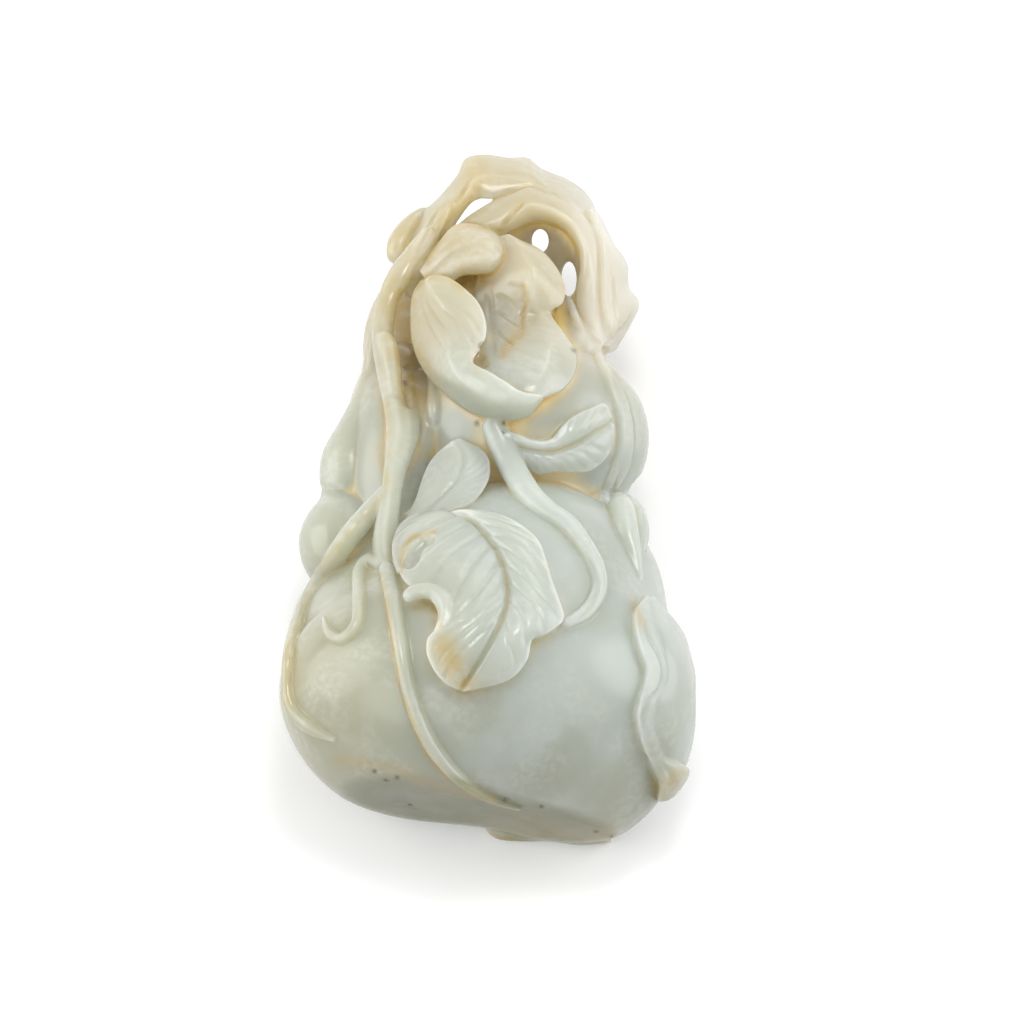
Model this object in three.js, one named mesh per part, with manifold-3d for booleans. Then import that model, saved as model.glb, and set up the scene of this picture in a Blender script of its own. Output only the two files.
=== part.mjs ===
// A jade carving of a double gourd on its vine, lying on its back as it is put down on a table.
// A big pear-shaped belly and a round upper bulb form one double gourd. Two small gourds hang at its
// sides, leaves and creepers lie over it in relief, an open blossom covers its stem end, and the vine
// bends over the top in a pierced arch. All of it is cut from one pebble, so it is one solid.
// Units are millimetres, Z is up out of the carved face, and the stem end points along +Y.
import * as THREE from "three";
import { mergeVertices } from "three/addons/utils/BufferGeometryUtils.js";
import Module from "manifold-3d";

// The relief is laid out as a viewer sees it along a line of sight this far above the ground.
const SIGHT_ANGLE = THREE.MathUtils.degToRad(60);
const RISE = Math.sin(SIGHT_ANGLE);
const RUN = Math.cos(SIGHT_ANGLE);

// How far the finished stone is moved to put its middle over the frame's origin.
const TO_MIDDLE = [0, 1, 0];

// The big double gourd: each lobe is an ellipsoid with a middle and three half widths.
const BELLY = { middle: [-0.8, -39.8, 20.5], half: [32.2, 21, 20.7] };
const SHOULDER = { middle: [4.5, -18.8, 17], half: [22.5, 16.5, 18] };
const LEFT_SHOULDER = { middle: [-10, -26, 14], half: [19.5, 15.5, 13.5] };
const RIGHT_HEEL = { middle: [12, -44.8, 13], half: [18, 18, 13.5] };
const LEFT_HEEL = { middle: [-10, -39.8, 13], half: [19, 17, 13.5] };
const CROWN = { middle: [5.6, 9, 16], half: [19, 18, 16.4] };
const SHOULDER_BLEND = 14;
const HEEL_BLEND = 6;
// The flat that closes the bottom of the belly, with its softened edge.
const END_FLAT = { point: [0, -60.2, 23], outward: [-0.15, -1, -0.19], edge: 1.4 };
// A point inside the crown that sees all of its skin.
const CROWN_HEART = [5.6, 9, 12.5];
// The hollow in the crown that holds the blossom.
const SEAT = { middle: [2.7, 34.3, 43], half: [10, 12, 13], edge: 1.5 };

// Stone behind the open work of the stem end and between the big gourd and the small one.
const CORE = { middle: [0.5, 27.2, 16.5], half: [11.5, 16, 12] };
const BACKING = { middle: [-5, 29.2, 10], half: [15, 18, 8] };
const FLANK = { middle: [-14, 4, 14], half: [9.5, 23, 12.5] };

// The heights between which the eyes are cut.
const EYE_ENDS = [-2, 27];

// How finely stems are stepped along their path, and how far leaves swell at their two ends.
const STEM_STEPS_PER_PLACE = 1.1;
const SWELL_AT_ENDS = 0.1;

// Places on the carving are [x, v] or [x, v, z]: x to the right, v up the picture that the viewer
// sees, and z above the ground. A place without z is on the skin of the big gourd.
const seen = (x, v, z) => new THREE.Vector3(x, (v - z * RUN) / RISE, z);

function ellipsoidDistance(p, { middle, half }) {
  const q = [p.x - middle[0], p.y - middle[1], p.z - middle[2]];
  const near = Math.hypot(q[0] / half[0], q[1] / half[1], q[2] / half[2]);
  const slope = Math.hypot(q[0] / half[0] ** 2, q[1] / half[1] ** 2, q[2] / half[2] ** 2);
  return (near * (near - 1)) / Math.max(slope, Number.EPSILON);
}

function blendedUnion(a, b, width) {
  const share = THREE.MathUtils.clamp(0.5 + (0.5 * (b - a)) / width, 0, 1);
  return b + (a - b) * share - width * share * (1 - share);
}

const blendedCut = (a, b, width) => -blendedUnion(-a, -b, width);

function planeDistance(p, { point, outward }) {
  const normal = new THREE.Vector3(...outward).normalize();
  return normal.dot(p) - normal.dot(new THREE.Vector3(...point));
}

function bellyDistance(p) {
  let d = blendedUnion(ellipsoidDistance(p, BELLY), ellipsoidDistance(p, SHOULDER), SHOULDER_BLEND);
  for (const lobe of [LEFT_SHOULDER, RIGHT_HEEL, LEFT_HEEL]) {
    d = blendedUnion(d, ellipsoidDistance(p, lobe), HEEL_BLEND);
  }
  return blendedCut(d, planeDistance(p, END_FLAT), END_FLAT.edge);
}

function crownDistance(p) {
  const seat = { ...SEAT, middle: seen(...SEAT.middle).toArray() };
  return blendedCut(ellipsoidDistance(p, CROWN), -ellipsoidDistance(p, seat), SEAT.edge);
}

const skinDistance = (p) => Math.min(bellyDistance(p), crownDistance(p));

function outwardNormal(p) {
  const STEP = 0.1;
  const slope = (axis) => {
    const offset = new THREE.Vector3().setComponent(axis, STEP);
    return skinDistance(p.clone().add(offset)) - skinDistance(p.clone().sub(offset));
  };
  return new THREE.Vector3(slope(0), slope(1), slope(2)).normalize();
}

// The value between one outside and one inside the stone where the gap to its skin closes.
function crossing(outside, inside, gapAt) {
  const HALVINGS = 20;
  for (let i = 0; i < HALVINGS; i++) {
    const half = (outside + inside) / 2;
    [outside, inside] = gapAt(half) > 0 ? [half, inside] : [outside, half];
  }
  return inside;
}

// Goes down the line of sight through (x, v) to the skin, and returns the point lifted off it.
// Where the line passes the gourd by, the nearest stretch of skin is used.
function onSkin(x, v, lift) {
  const HIGHEST = 50;
  const STRIDE = 0.5;
  const gapAt = (z) => skinDistance(seen(x, v, z));
  let nearest = HIGHEST;
  let z = HIGHEST;
  while (z > 0 && gapAt(z) > 0) {
    if (gapAt(z) < gapAt(nearest)) nearest = z;
    z -= STRIDE;
  }
  if (z > 0) nearest = crossing(z + STRIDE, z, gapAt);
  const p = seen(x, v, nearest);
  return p.addScaledVector(outwardNormal(p), lift - skinDistance(p));
}

// Goes straight up through (x, y) to the back of the gourd, and returns the point lifted off it.
function onBack(x, y, lift) {
  const STRIDE = 0.25;
  const p = new THREE.Vector3(x, y, 0);
  while (p.z < BELLY.middle[2] && skinDistance(p) > 0) p.z += STRIDE;
  return p.addScaledVector(outwardNormal(p), lift - skinDistance(p));
}

function place([x, v, z], lift, onto) {
  return z === undefined ? onto(x, v, lift) : seen(x, v, z);
}

// A number, or a list of numbers spread evenly over t from 0 to 1 and read at t.
function along(values, t) {
  if (!Array.isArray(values)) return values;
  const at = t * (values.length - 1);
  const i = Math.min(Math.floor(at), values.length - 2);
  return THREE.MathUtils.lerp(values[i], values[i + 1], at - i);
}

// Six times the volume that the faces enclose, which is below zero if they face inwards.
function enclosedVolume(points, faces) {
  let sum = 0;
  for (let i = 0; i < faces.length; i += 3) {
    const [a, b, c] = faces.slice(i, i + 3).map((index) => points[index]);
    sum += a.dot(b.clone().cross(c));
  }
  return sum;
}

// Closes a row of rings, each a loop of as many points, into one solid with a fan at both ends.
function loft(rings) {
  const size = rings[0].length;
  const middleOf = (ring) => ring.reduce((sum, p) => sum.add(p), new THREE.Vector3()).divideScalar(size);
  const points = [...rings.flat(), middleOf(rings[0]), middleOf(rings.at(-1))];
  const [first, last] = [points.length - 2, points.length - 1];
  const faces = [];
  for (let j = 0; j < size; j++) {
    const next = (j + 1) % size;
    for (let i = 0; i + 1 < rings.length; i++) {
      const [a, b, c, d] = [i * size + j, i * size + next, (i + 1) * size + j, (i + 1) * size + next];
      faces.push(a, b, d, a, d, c);
    }
    faces.push(first, next, j);
    faces.push(last, (rings.length - 1) * size + j, (rings.length - 1) * size + next);
  }
  const geometry = new THREE.BufferGeometry().setFromPoints(points);
  geometry.setIndex(enclosedVolume(points, faces) < 0 ? faces.reverse() : faces);
  return geometry;
}

// A stem, tendril, bud or small gourd: a round body of changing radius along a path.
function stem({ path, radius, lift = 0, sides = 8, onto = onSkin }) {
  const curve = new THREE.CatmullRomCurve3(path.map((spot) => place(spot, lift, onto)));
  const count = Math.round(STEM_STEPS_PER_PLACE * path.length);
  const frames = curve.computeFrenetFrames(count, false);
  const rings = [];
  for (let i = 0; i <= count; i++) {
    const r = along(radius, i / count);
    const middle = curve.getPointAt(i / count);
    rings.push(
      Array.from({ length: sides }, (_, j) => {
        const turn = (2 * Math.PI * j) / sides;
        const out = frames.normals[i].clone().multiplyScalar(r * Math.cos(turn));
        return out.addScaledVector(frames.binormals[i], r * Math.sin(turn)).add(middle);
      }),
    );
  }
  return loft(rings);
}

// A leaf, petal or flat branch between a left and a right edge, with a rib between them. Both halves
// swell above the rib. On the skin, rise lifts the plate from base to tip. Free of it, the three
// curves carry their own heights. thick is the depth below the rib and edge the depth at the edges.
function leaf({
  left,
  rib,
  right,
  rise = 1,
  swell = 0.5,
  thick = 2.5,
  edge = 0.8,
  steps = 8,
  across = 4,
  onto = onSkin,
}) {
  const curves = [left, rib, right].map(
    (line) => new THREE.CatmullRomCurve3(line.map(([x, v, z = 0]) => new THREE.Vector3(x, v, z))),
  );
  const free = rib[0].length === 3;
  const rings = [];
  for (let i = 0; i <= steps; i++) {
    const t = i / steps;
    const lengthwise = THREE.MathUtils.lerp(SWELL_AT_ENDS, 1 - SWELL_AT_ENDS, t);
    const [l, m, r] = curves.map((curve) => curve.getPoint(t));
    const point = (share, drop) => {
      const spot = m.clone().lerp(share < 0 ? l : r, Math.abs(share));
      const hump = swell * Math.sin(Math.PI * Math.abs(share)) * Math.sin(Math.PI * lengthwise);
      if (free) return seen(spot.x, spot.y, spot.z + hump - drop);
      return onto(spot.x, spot.y, drop > 0 ? -drop : along(rise, t) + hump);
    };
    const top = Array.from({ length: across + 1 }, (_, j) => point((2 * j) / across - 1, 0));
    rings.push([...top, point(1, edge), point(0, thick), point(-1, edge)]);
  }
  return loft(rings);
}

// An oval rod along the line of sight, from below the ground to well above the wall that it pierces.
function eye([x, v], half) {
  const SIDES = 12;
  const ring = (z) =>
    Array.from({ length: SIDES }, (_, j) => {
      const turn = (2 * Math.PI * j) / SIDES;
      return seen(x + half[0] * Math.cos(turn), v + half[1] * Math.sin(turn), z);
    });
  return loft([ring(EYE_ENDS[0]), ring(EYE_ENDS[1])]);
}

// A closed ball whose points are pushed out from the middle to the zero of a distance function.
function ballOut(middle, distance, across, around) {
  const REACH = 60;
  const heart = new THREE.Vector3(...middle);
  const ball = new THREE.SphereGeometry(1, around, across);
  const position = ball.getAttribute("position");
  for (let i = 0; i < position.count; i++) {
    const ray = new THREE.Vector3().fromBufferAttribute(position, i);
    const radius = crossing(REACH, 0, (reach) => distance(heart.clone().addScaledVector(ray, reach)));
    position.setXYZ(i, ...heart.clone().addScaledVector(ray, radius).toArray());
  }
  return ball;
}

const lump = (shape, across, around) =>
  ballOut(shape.middle, (p) => ellipsoidDistance(p, shape), across, around);

// The big double gourd, with the stone behind the open work.
const bigGourd = () => [
  ballOut(BELLY.middle, bellyDistance, 18, 27),
  ballOut(CROWN_HEART, crownDistance, 13, 19),
  lump(CORE, 6, 10),
  lump(BACKING, 6, 10),
  lump(FLANK, 6, 9),
];

// Small double gourds: a neck, an upper bulb, a waist and a lower bulb along one path.
const smallGourds = () => [
  stem({
    path: [
      [-16.5, 37.8, 22], [-17.8, 30.6, 21], [-18.7, 24.3, 20], [-20.2, 17.9, 19], [-21.6, 12.4, 18],
      [-22.5, 7.9, 17.5], [-23, 6, 17], [-23, 2.5, 17], [-23, -1.3, 17], [-23.2, -5.4, 17],
      [-23.3, -8, 17],
    ],
    radius: [1.4, 1.7, 1.9, 3.4, 4.9, 4.4, 3.7, 6.2, 7.1, 5.6, 1.5],
    sides: 10,
  }),
  // the bud at the right of the waist, with another behind it
  stem({
    path: [
      [20.8, 6.5, 24], [21.1, 4.1, 27], [21.9, 1.3, 29], [22.9, -1.6, 29.3], [23.7, -4.5, 29.4],
      [24.3, -6.8, 29.4],
    ],
    radius: [1.2, 2.3, 2.0, 1.4, 0.8, 0.4],
    sides: 7,
  }),
  stem({
    path: [[21.6, 6.3, 22.5], [23.2, 4.3, 25], [24, 2, 25.6], [24.3, -0.2, 26], [24.6, -2.2, 26.5]],
    radius: [1.0, 1.5, 1.5, 1.2, 0.5],
    sides: 6,
  }),
];

// The stems of the vine, from the arch over the top down to the creepers on the belly.
const vine = () => [
  // the main stem beside the blossom
  stem({
    path: [
      [-9.2, 49.5, 26], [-11.6, 45.7, 26.5], [-13.8, 42, 26], [-15.9, 37.8, 25], [-16.8, 32.4, 25],
      [-16.2, 26.7, 26], [-14.9, 20.6, 27], [-14.1, 15.5, 28], [-15.1, 9.5, 29], [-15.9, 4.1, 30],
      [-16.5, -1.1, 31.5], [-16, -5.7, 34.5],
    ],
    radius: [0.7, 1.4, 1.9, 1.7, 1.7, 1.7, 1.8, 2.4, 1.8, 1.8, 1.9, 0.8],
    sides: 7,
  }),
  stem({
    path: [[-13, 20.3, 27], [-12.5, 16.5, 28], [-13.7, 12.4, 29]],
    radius: [1.2, 1.5, 1.0],
    sides: 6,
  }),
  // the second stem of the left foot, down to the deep gap
  stem({
    path: [[-7.3, 50.1, 26], [-9.2, 47, 26.5], [-11, 44.1, 26], [-12.1, 41.3, 25], [-12.7, 38.1, 23]],
    radius: [0.6, 1.1, 1.4, 1.3, 0.9],
    sides: 6,
  }),
  // the stem in the deep gap between the main stem and the upper bulb
  stem({
    path: [[-10, 26.3, 21], [-10.3, 22.2, 22.5], [-10.3, 18.1, 24], [-10.5, 14, 24], [-11.4, 10.5, 21]],
    radius: [2.4, 3.0, 3.0, 2.2, 1.2],
    sides: 6,
  }),
  // the sheath where the lower stem leaves the upper one
  stem({
    path: [[-17.1, 32.4, 26], [-16, 30.6, 27], [-15.2, 26.3, 27.5], [-14.6, 21.9, 28]],
    radius: [1.0, 1.6, 1.5, 1.0],
    sides: 6,
  }),
  // the long stem down the belly
  stem({
    path: [
      [-15.9, -4.6], [-14.8, -10.2], [-13.7, -17], [-12.4, -23.8], [-10.6, -29.2], [-7.9, -34],
      [-4, -38.1], [0.6, -41], [5.4, -42.6],
    ],
    radius: [1.3, 1.25, 1.2, 1.2, 1.25, 1.2, 1.1, 0.8, 0.4],
    lift: 0.3,
    sides: 6,
  }),
  // the creeper down the left flank
  stem({
    path: [
      [-15.4, 7.8, 30], [-19, 3.8, 28.5], [-22.7, -0.8, 27.5], [-26.3, -6], [-29.2, -11.6],
      [-31, -17.8], [-31.4, -24.1], [-30.3, -27.5], [-27.6, -29.9], [-23.8, -31.9],
    ],
    radius: [1.4, 1.6, 1.65, 1.55, 1.3, 1.05, 1.05, 1.2, 1.1, 0.3],
    lift: 0.4,
    sides: 6,
  }),
  // the small hooked tendril
  stem({
    path: [
      [-16.5, -4.8], [-18.6, -3.7], [-20.2, -5.6], [-20.3, -9.9], [-20.6, -13.7], [-22.7, -16],
      [-24.9, -15.3], [-25.9, -12.7],
    ],
    radius: [1.1, 1.1, 1.1, 1.0, 0.95, 0.9, 0.7, 0.3],
    lift: 0.35,
    sides: 6,
  }),
  // the creeper from the blossom over the waist to the large leaf
  stem({
    path: [
      [0.2, 19.3, 32], [1.7, 16, 31], [3.5, 11.9, 31], [5.9, 7.8, 33.5], [9, 4.7, 35], [12.4, 1.9],
      [15.2, -1.6], [17.1, -5.3], [17.3, -8.6], [15.4, -11.8], [11.7, -14],
    ],
    radius: [1.7, 2.0, 2.0, 1.9, 1.7, 1.5, 1.3, 1.2, 1.1, 1.1, 0.8],
    lift: 0.6,
    sides: 7,
  }),
  // the creeper down the right flank of the crown
  stem({
    path: [
      [12.5, 39, 25.5], [13.2, 37.1, 26], [14.1, 34.7, 26.3], [15.2, 32.2, 26], [16.5, 29.8],
      [17.8, 27.6], [19.5, 23.5], [20.6, 19.5], [20.8, 14.6], [19.5, 9.8], [17.9, 6.3],
    ],
    radius: [0.4, 0.6, 0.7, 0.7, 0.7, 0.7, 0.7, 0.7, 0.7, 0.7, 0.4],
    lift: 0.35,
    sides: 5,
  }),
  // the raised rim and the curled lobe of the large leaf
  stem({
    path: [[-13.3, -7], [-13.8, -4.5], [-13.3, -2.1], [-11.9, -0.5], [-10.2, 0.3], [-8.4, 0.1]],
    radius: [0.5, 0.6, 0.65, 0.65, 0.6, 0.3],
    lift: 1.9,
    sides: 5,
  }),
  stem({
    path: [[-12.5, -11.4], [-11.3, -10.3], [-9, -9.9], [-7.1, -10.8], [-6.3, -12.9], [-7.3, -15.7]],
    radius: [0.9, 1.2, 1.35, 1.3, 1.15, 0.6],
    lift: 2.4,
    sides: 6,
  }),
  // the bud behind the left foot of the arch
  stem({
    path: [
      [-9.5, 52.4, 20], [-11.9, 50.1, 20], [-13.5, 47.6, 20], [-14.4, 45.7, 20], [-15.1, 43.8, 20],
    ],
    radius: [1.0, 1.8, 2.25, 2.0, 1.0],
    sides: 7,
  }),
];

// The vine where it bends over the top: an outer flat branch and an inner ring below it.
const arch = () => [
  leaf({
    left: [
      [-14.4, 42.8, 22], [-12.7, 46.8, 22], [-10.5, 51.7, 21.5], [-7.5, 54.9, 21], [-4.9, 58.1, 22],
      [-3.7, 60.6, 22], [-0.6, 61.3, 22], [3.2, 60.8, 22], [6.3, 60.8, 21], [8.7, 59, 20.5],
      [13.3, 57, 20], [16.5, 54, 19], [19, 47.9, 18],
    ],
    rib: [
      [-13.3, 43.5, 26], [-9.5, 49.2, 26], [-5.9, 53, 26], [-3.3, 55.5, 26.5], [-1.9, 57.4, 26.5],
      [0, 58.1, 26], [3.2, 57.8, 26], [6, 58.1, 25.5], [8.9, 56.7, 25], [12.1, 54.7, 24.5],
      [14.9, 52, 24], [17.3, 47.3, 23.5],
    ],
    right: [
      [-10.5, 43.8, 24], [-7.5, 47.3, 24], [-5.1, 50.3, 24], [-2.9, 53.2, 24.5], [-1.3, 54.1, 25],
      [0.3, 54.1, 25.5], [2.9, 54.6, 25.5], [6, 55.7, 26], [8.9, 55.2, 26], [11.1, 54.3, 25.5],
      [13.7, 51.3, 25], [15.6, 46.5, 24],
    ],
    swell: 0.3,
    thick: 5,
    edge: 2,
    steps: 16,
  }),
  leaf({
    left: [
      [-6.3, 48.6, 24], [-3.5, 51.1, 25], [-1.1, 52.7, 25.5], [0.8, 53.8, 26], [3.5, 55.1, 26],
      [6.3, 56.2, 26], [10.8, 54.7, 25.5], [14.9, 51.9, 25], [17.8, 47.3, 24.5], [18.7, 42.2, 24],
      [19, 37.4, 23.5], [19.5, 33.6, 23], [19.8, 30.5, 22],
    ],
    rib: [
      [-5.2, 47.6, 27], [-2.5, 49, 28], [-0.2, 50.1, 28.5], [1.9, 50.9, 28.5], [4.3, 52.2, 28.5],
      [6.7, 53.2, 28.5], [10.2, 52.5, 28.5], [13.7, 50.3, 28], [15.9, 46.3, 27.5], [16.5, 42.2, 27],
      [16.5, 37.8, 26.5], [17.3, 34, 26.5], [18.4, 30.8, 25.5],
    ],
    right: [
      [-4, 47, 24], [-1.3, 47.6, 25], [1, 48.1, 25.5], [2.7, 48.6, 26], [4.8, 49.3, 26], [7, 50.3, 26],
      [9.8, 50.3, 26], [12.4, 49, 26], [14.3, 46.2, 26], [14.6, 42.8, 26], [14, 38.7, 26],
      [14.8, 34.6, 25.5], [17, 30.1, 25],
    ],
    swell: 0.4,
    thick: 8,
    edge: 4,
    steps: 14,
  }),
];

// The wall inside the ring.
const lining = () => [
  leaf({
    left: [
      [2.7, 48.6, 23], [5.1, 51.1, 24], [9, 51.7, 24], [13.3, 50.5, 24], [15.6, 46.5, 23.5],
      [15.2, 41.7, 23], [14, 37, 22],
    ],
    rib: [
      [2.2, 46.2, 21], [4.8, 47.4, 22], [8.3, 47.6, 22], [11.4, 46.3, 21.5], [13.2, 43.3, 21],
      [13.3, 39.3, 20.5], [13.2, 36, 21],
    ],
    right: [
      [1.9, 43.8, 20], [4.3, 43.8, 20], [7.5, 43.3, 19.5], [9.5, 42.2, 19], [10.8, 40.1, 19],
      [11.4, 37.8, 19.5], [12.4, 34.9, 21],
    ],
    swell: 0,
    thick: 5,
    edge: 5,
  }),
];

// The leaves over the belly, the waist and the right flank.
const leaves = () => [
  // the small leaf beside the main stem
  leaf({
    left: [
      [-14, 1.3, 30], [-12.7, 4, 30], [-11.6, 6, 30], [-10.6, 9.3, 30], [-9.7, 11.4, 30],
      [-8.6, 13, 30], [-7.1, 14.4, 30.5], [-5.6, 15.5, 31.5],
    ],
    rib: [
      [-13.7, 0.9, 31], [-11.1, 3.3, 32], [-8.6, 5.4, 33], [-6.2, 7.6, 33.5], [-4.6, 9.8, 33.5],
      [-4, 11.9, 33], [-4.1, 13.8, 32.5], [-5.2, 15.5, 32],
    ],
    right: [
      [-13.3, 0.5, 31], [-9.2, 3.3, 34], [-5.7, 4.3, 35], [-2.7, 5.4, 34.5], [-0.5, 7.6, 33.5],
      [0.5, 10.6, 32.5], [-0.5, 13.6, 31.5], [-4.6, 16, 31],
    ],
    swell: 0.4,
    thick: 6,
    edge: 1.5,
  }),
  // the large leaf in the middle of the belly
  leaf({
    left: [
      [-6.7, 3], [-9, 2.8], [-11.7, 1.7], [-13.5, -0.3], [-14.1, -3], [-13.7, -5.7], [-12.7, -8.6],
      [-9.2, -10.8], [-7.6, -13.3], [-8.1, -15.4], [-9.2, -16.7], [-9.4, -18.6], [-8.7, -20.5],
      [-7.6, -22.1], [-6.2, -23.3], [-4.4, -24.1],
    ],
    rib: [
      [-6.2, 2.8], [-4.6, 2.5], [-2.7, 1.6], [-1, 0], [0.3, -1.8], [1.4, -3.3], [2.4, -5.9],
      [2.9, -8.3], [3, -10.5], [2.5, -12.7], [1.6, -14.9], [0.3, -17.2], [-1.1, -19.4], [-2.5, -21.4],
      [-4.3, -24],
    ],
    right: [
      [-5.7, 3], [-3.3, 3], [0, 2.7], [3.2, 1.6], [5.7, 0], [7.8, -2.2], [8.7, -4.8], [9.7, -8.3],
      [10.8, -11.4], [11.4, -14.1], [9.2, -15.9], [6.8, -16.8], [5.9, -19.9], [2.9, -22.7],
      [-3.8, -24.3],
    ],
    rise: [1.4, 2.2, 2.4, 2.4, 1.8],
    swell: 1.2,
    steps: 13,
    across: 6,
  }),
  // the leaf on the upper bulb
  leaf({
    left: [
      [2.4, 16.7], [4.3, 16.5], [7.1, 15.4], [9.7, 15.7], [11.1, 17.4], [13, 19], [15.2, 20],
      [17.3, 20.8], [18.4, 19.8],
    ],
    rib: [
      [2.5, 15.9], [4.8, 14.6], [7.3, 14], [9.8, 13.8], [11.9, 14.4], [13.8, 15.2], [15.9, 16.5],
      [17.9, 17.6], [19, 18.4],
    ],
    right: [
      [2.9, 14.9], [4.4, 13], [6.3, 11.4], [7.9, 10.5], [10.2, 10.9], [12.7, 10.8], [15.4, 11.1],
      [18.1, 13.5], [19.2, 16.8],
    ],
    rise: [1.6, 2.2, 2.3, 2.2, 1.4],
    swell: 0.8,
  }),
  // the slender leaf down the right flank of the upper bulb
  leaf({
    left: [[17.9, 27.3], [19.7, 23.2], [20.8, 17.1], [20.6, 12], [19.7, 8.2]],
    rib: [[18.4, 27], [21.4, 22.2], [22.7, 17.1], [22.2, 11.7], [20.2, 7.8]],
    right: [[18.9, 27], [23.2, 22], [24.8, 17], [24.1, 11.4], [20.8, 7.4]],
    rise: 0.9,
    swell: 0.4,
    steps: 6,
  }),
  // the long wavy leaf down the right flank of the belly
  leaf({
    left: [
      [24.6, -9.4], [22.5, -12.4], [23, -17], [24.3, -21.1], [23.2, -25.7], [22.9, -28.6],
      [24.1, -33.3], [26.5, -37.8],
    ],
    rib: [
      [25.1, -9.5], [25.1, -13.3], [26.7, -17.8], [27.5, -21.8], [26, -25.7], [25.4, -29.2],
      [26.7, -32.9], [28.6, -36.2],
    ],
    right: [
      [25.7, -9.5], [28.7, -14], [31, -18.6], [31.7, -23.8], [31.7, -28.1], [31.3, -31.8],
      [30.8, -34.6], [30.5, -36.5],
    ],
    rise: [0.5, 1.3, 1.3, 1.2, 1.2, 1.2],
    swell: 0.5,
    steps: 11,
  }),
  // its turned-over tip, free of the belly
  leaf({
    left: [[25.1, -35.3, 23], [26.5, -37.8, 20], [27, -39.7, 18], [26.7, -41.8, 16]],
    rib: [[26.3, -34, 24], [28.1, -36.5, 21], [29, -38.6, 19], [28.4, -41.6, 15]],
    right: [
      [28.4, -34.6, 20], [30.8, -35.7, 19], [31.9, -36.8, 17], [31.3, -38.6, 15], [29.4, -41.1, 13],
    ],
    swell: 0.8,
    thick: 5,
    edge: 3,
    steps: 5,
  }),
];

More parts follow.
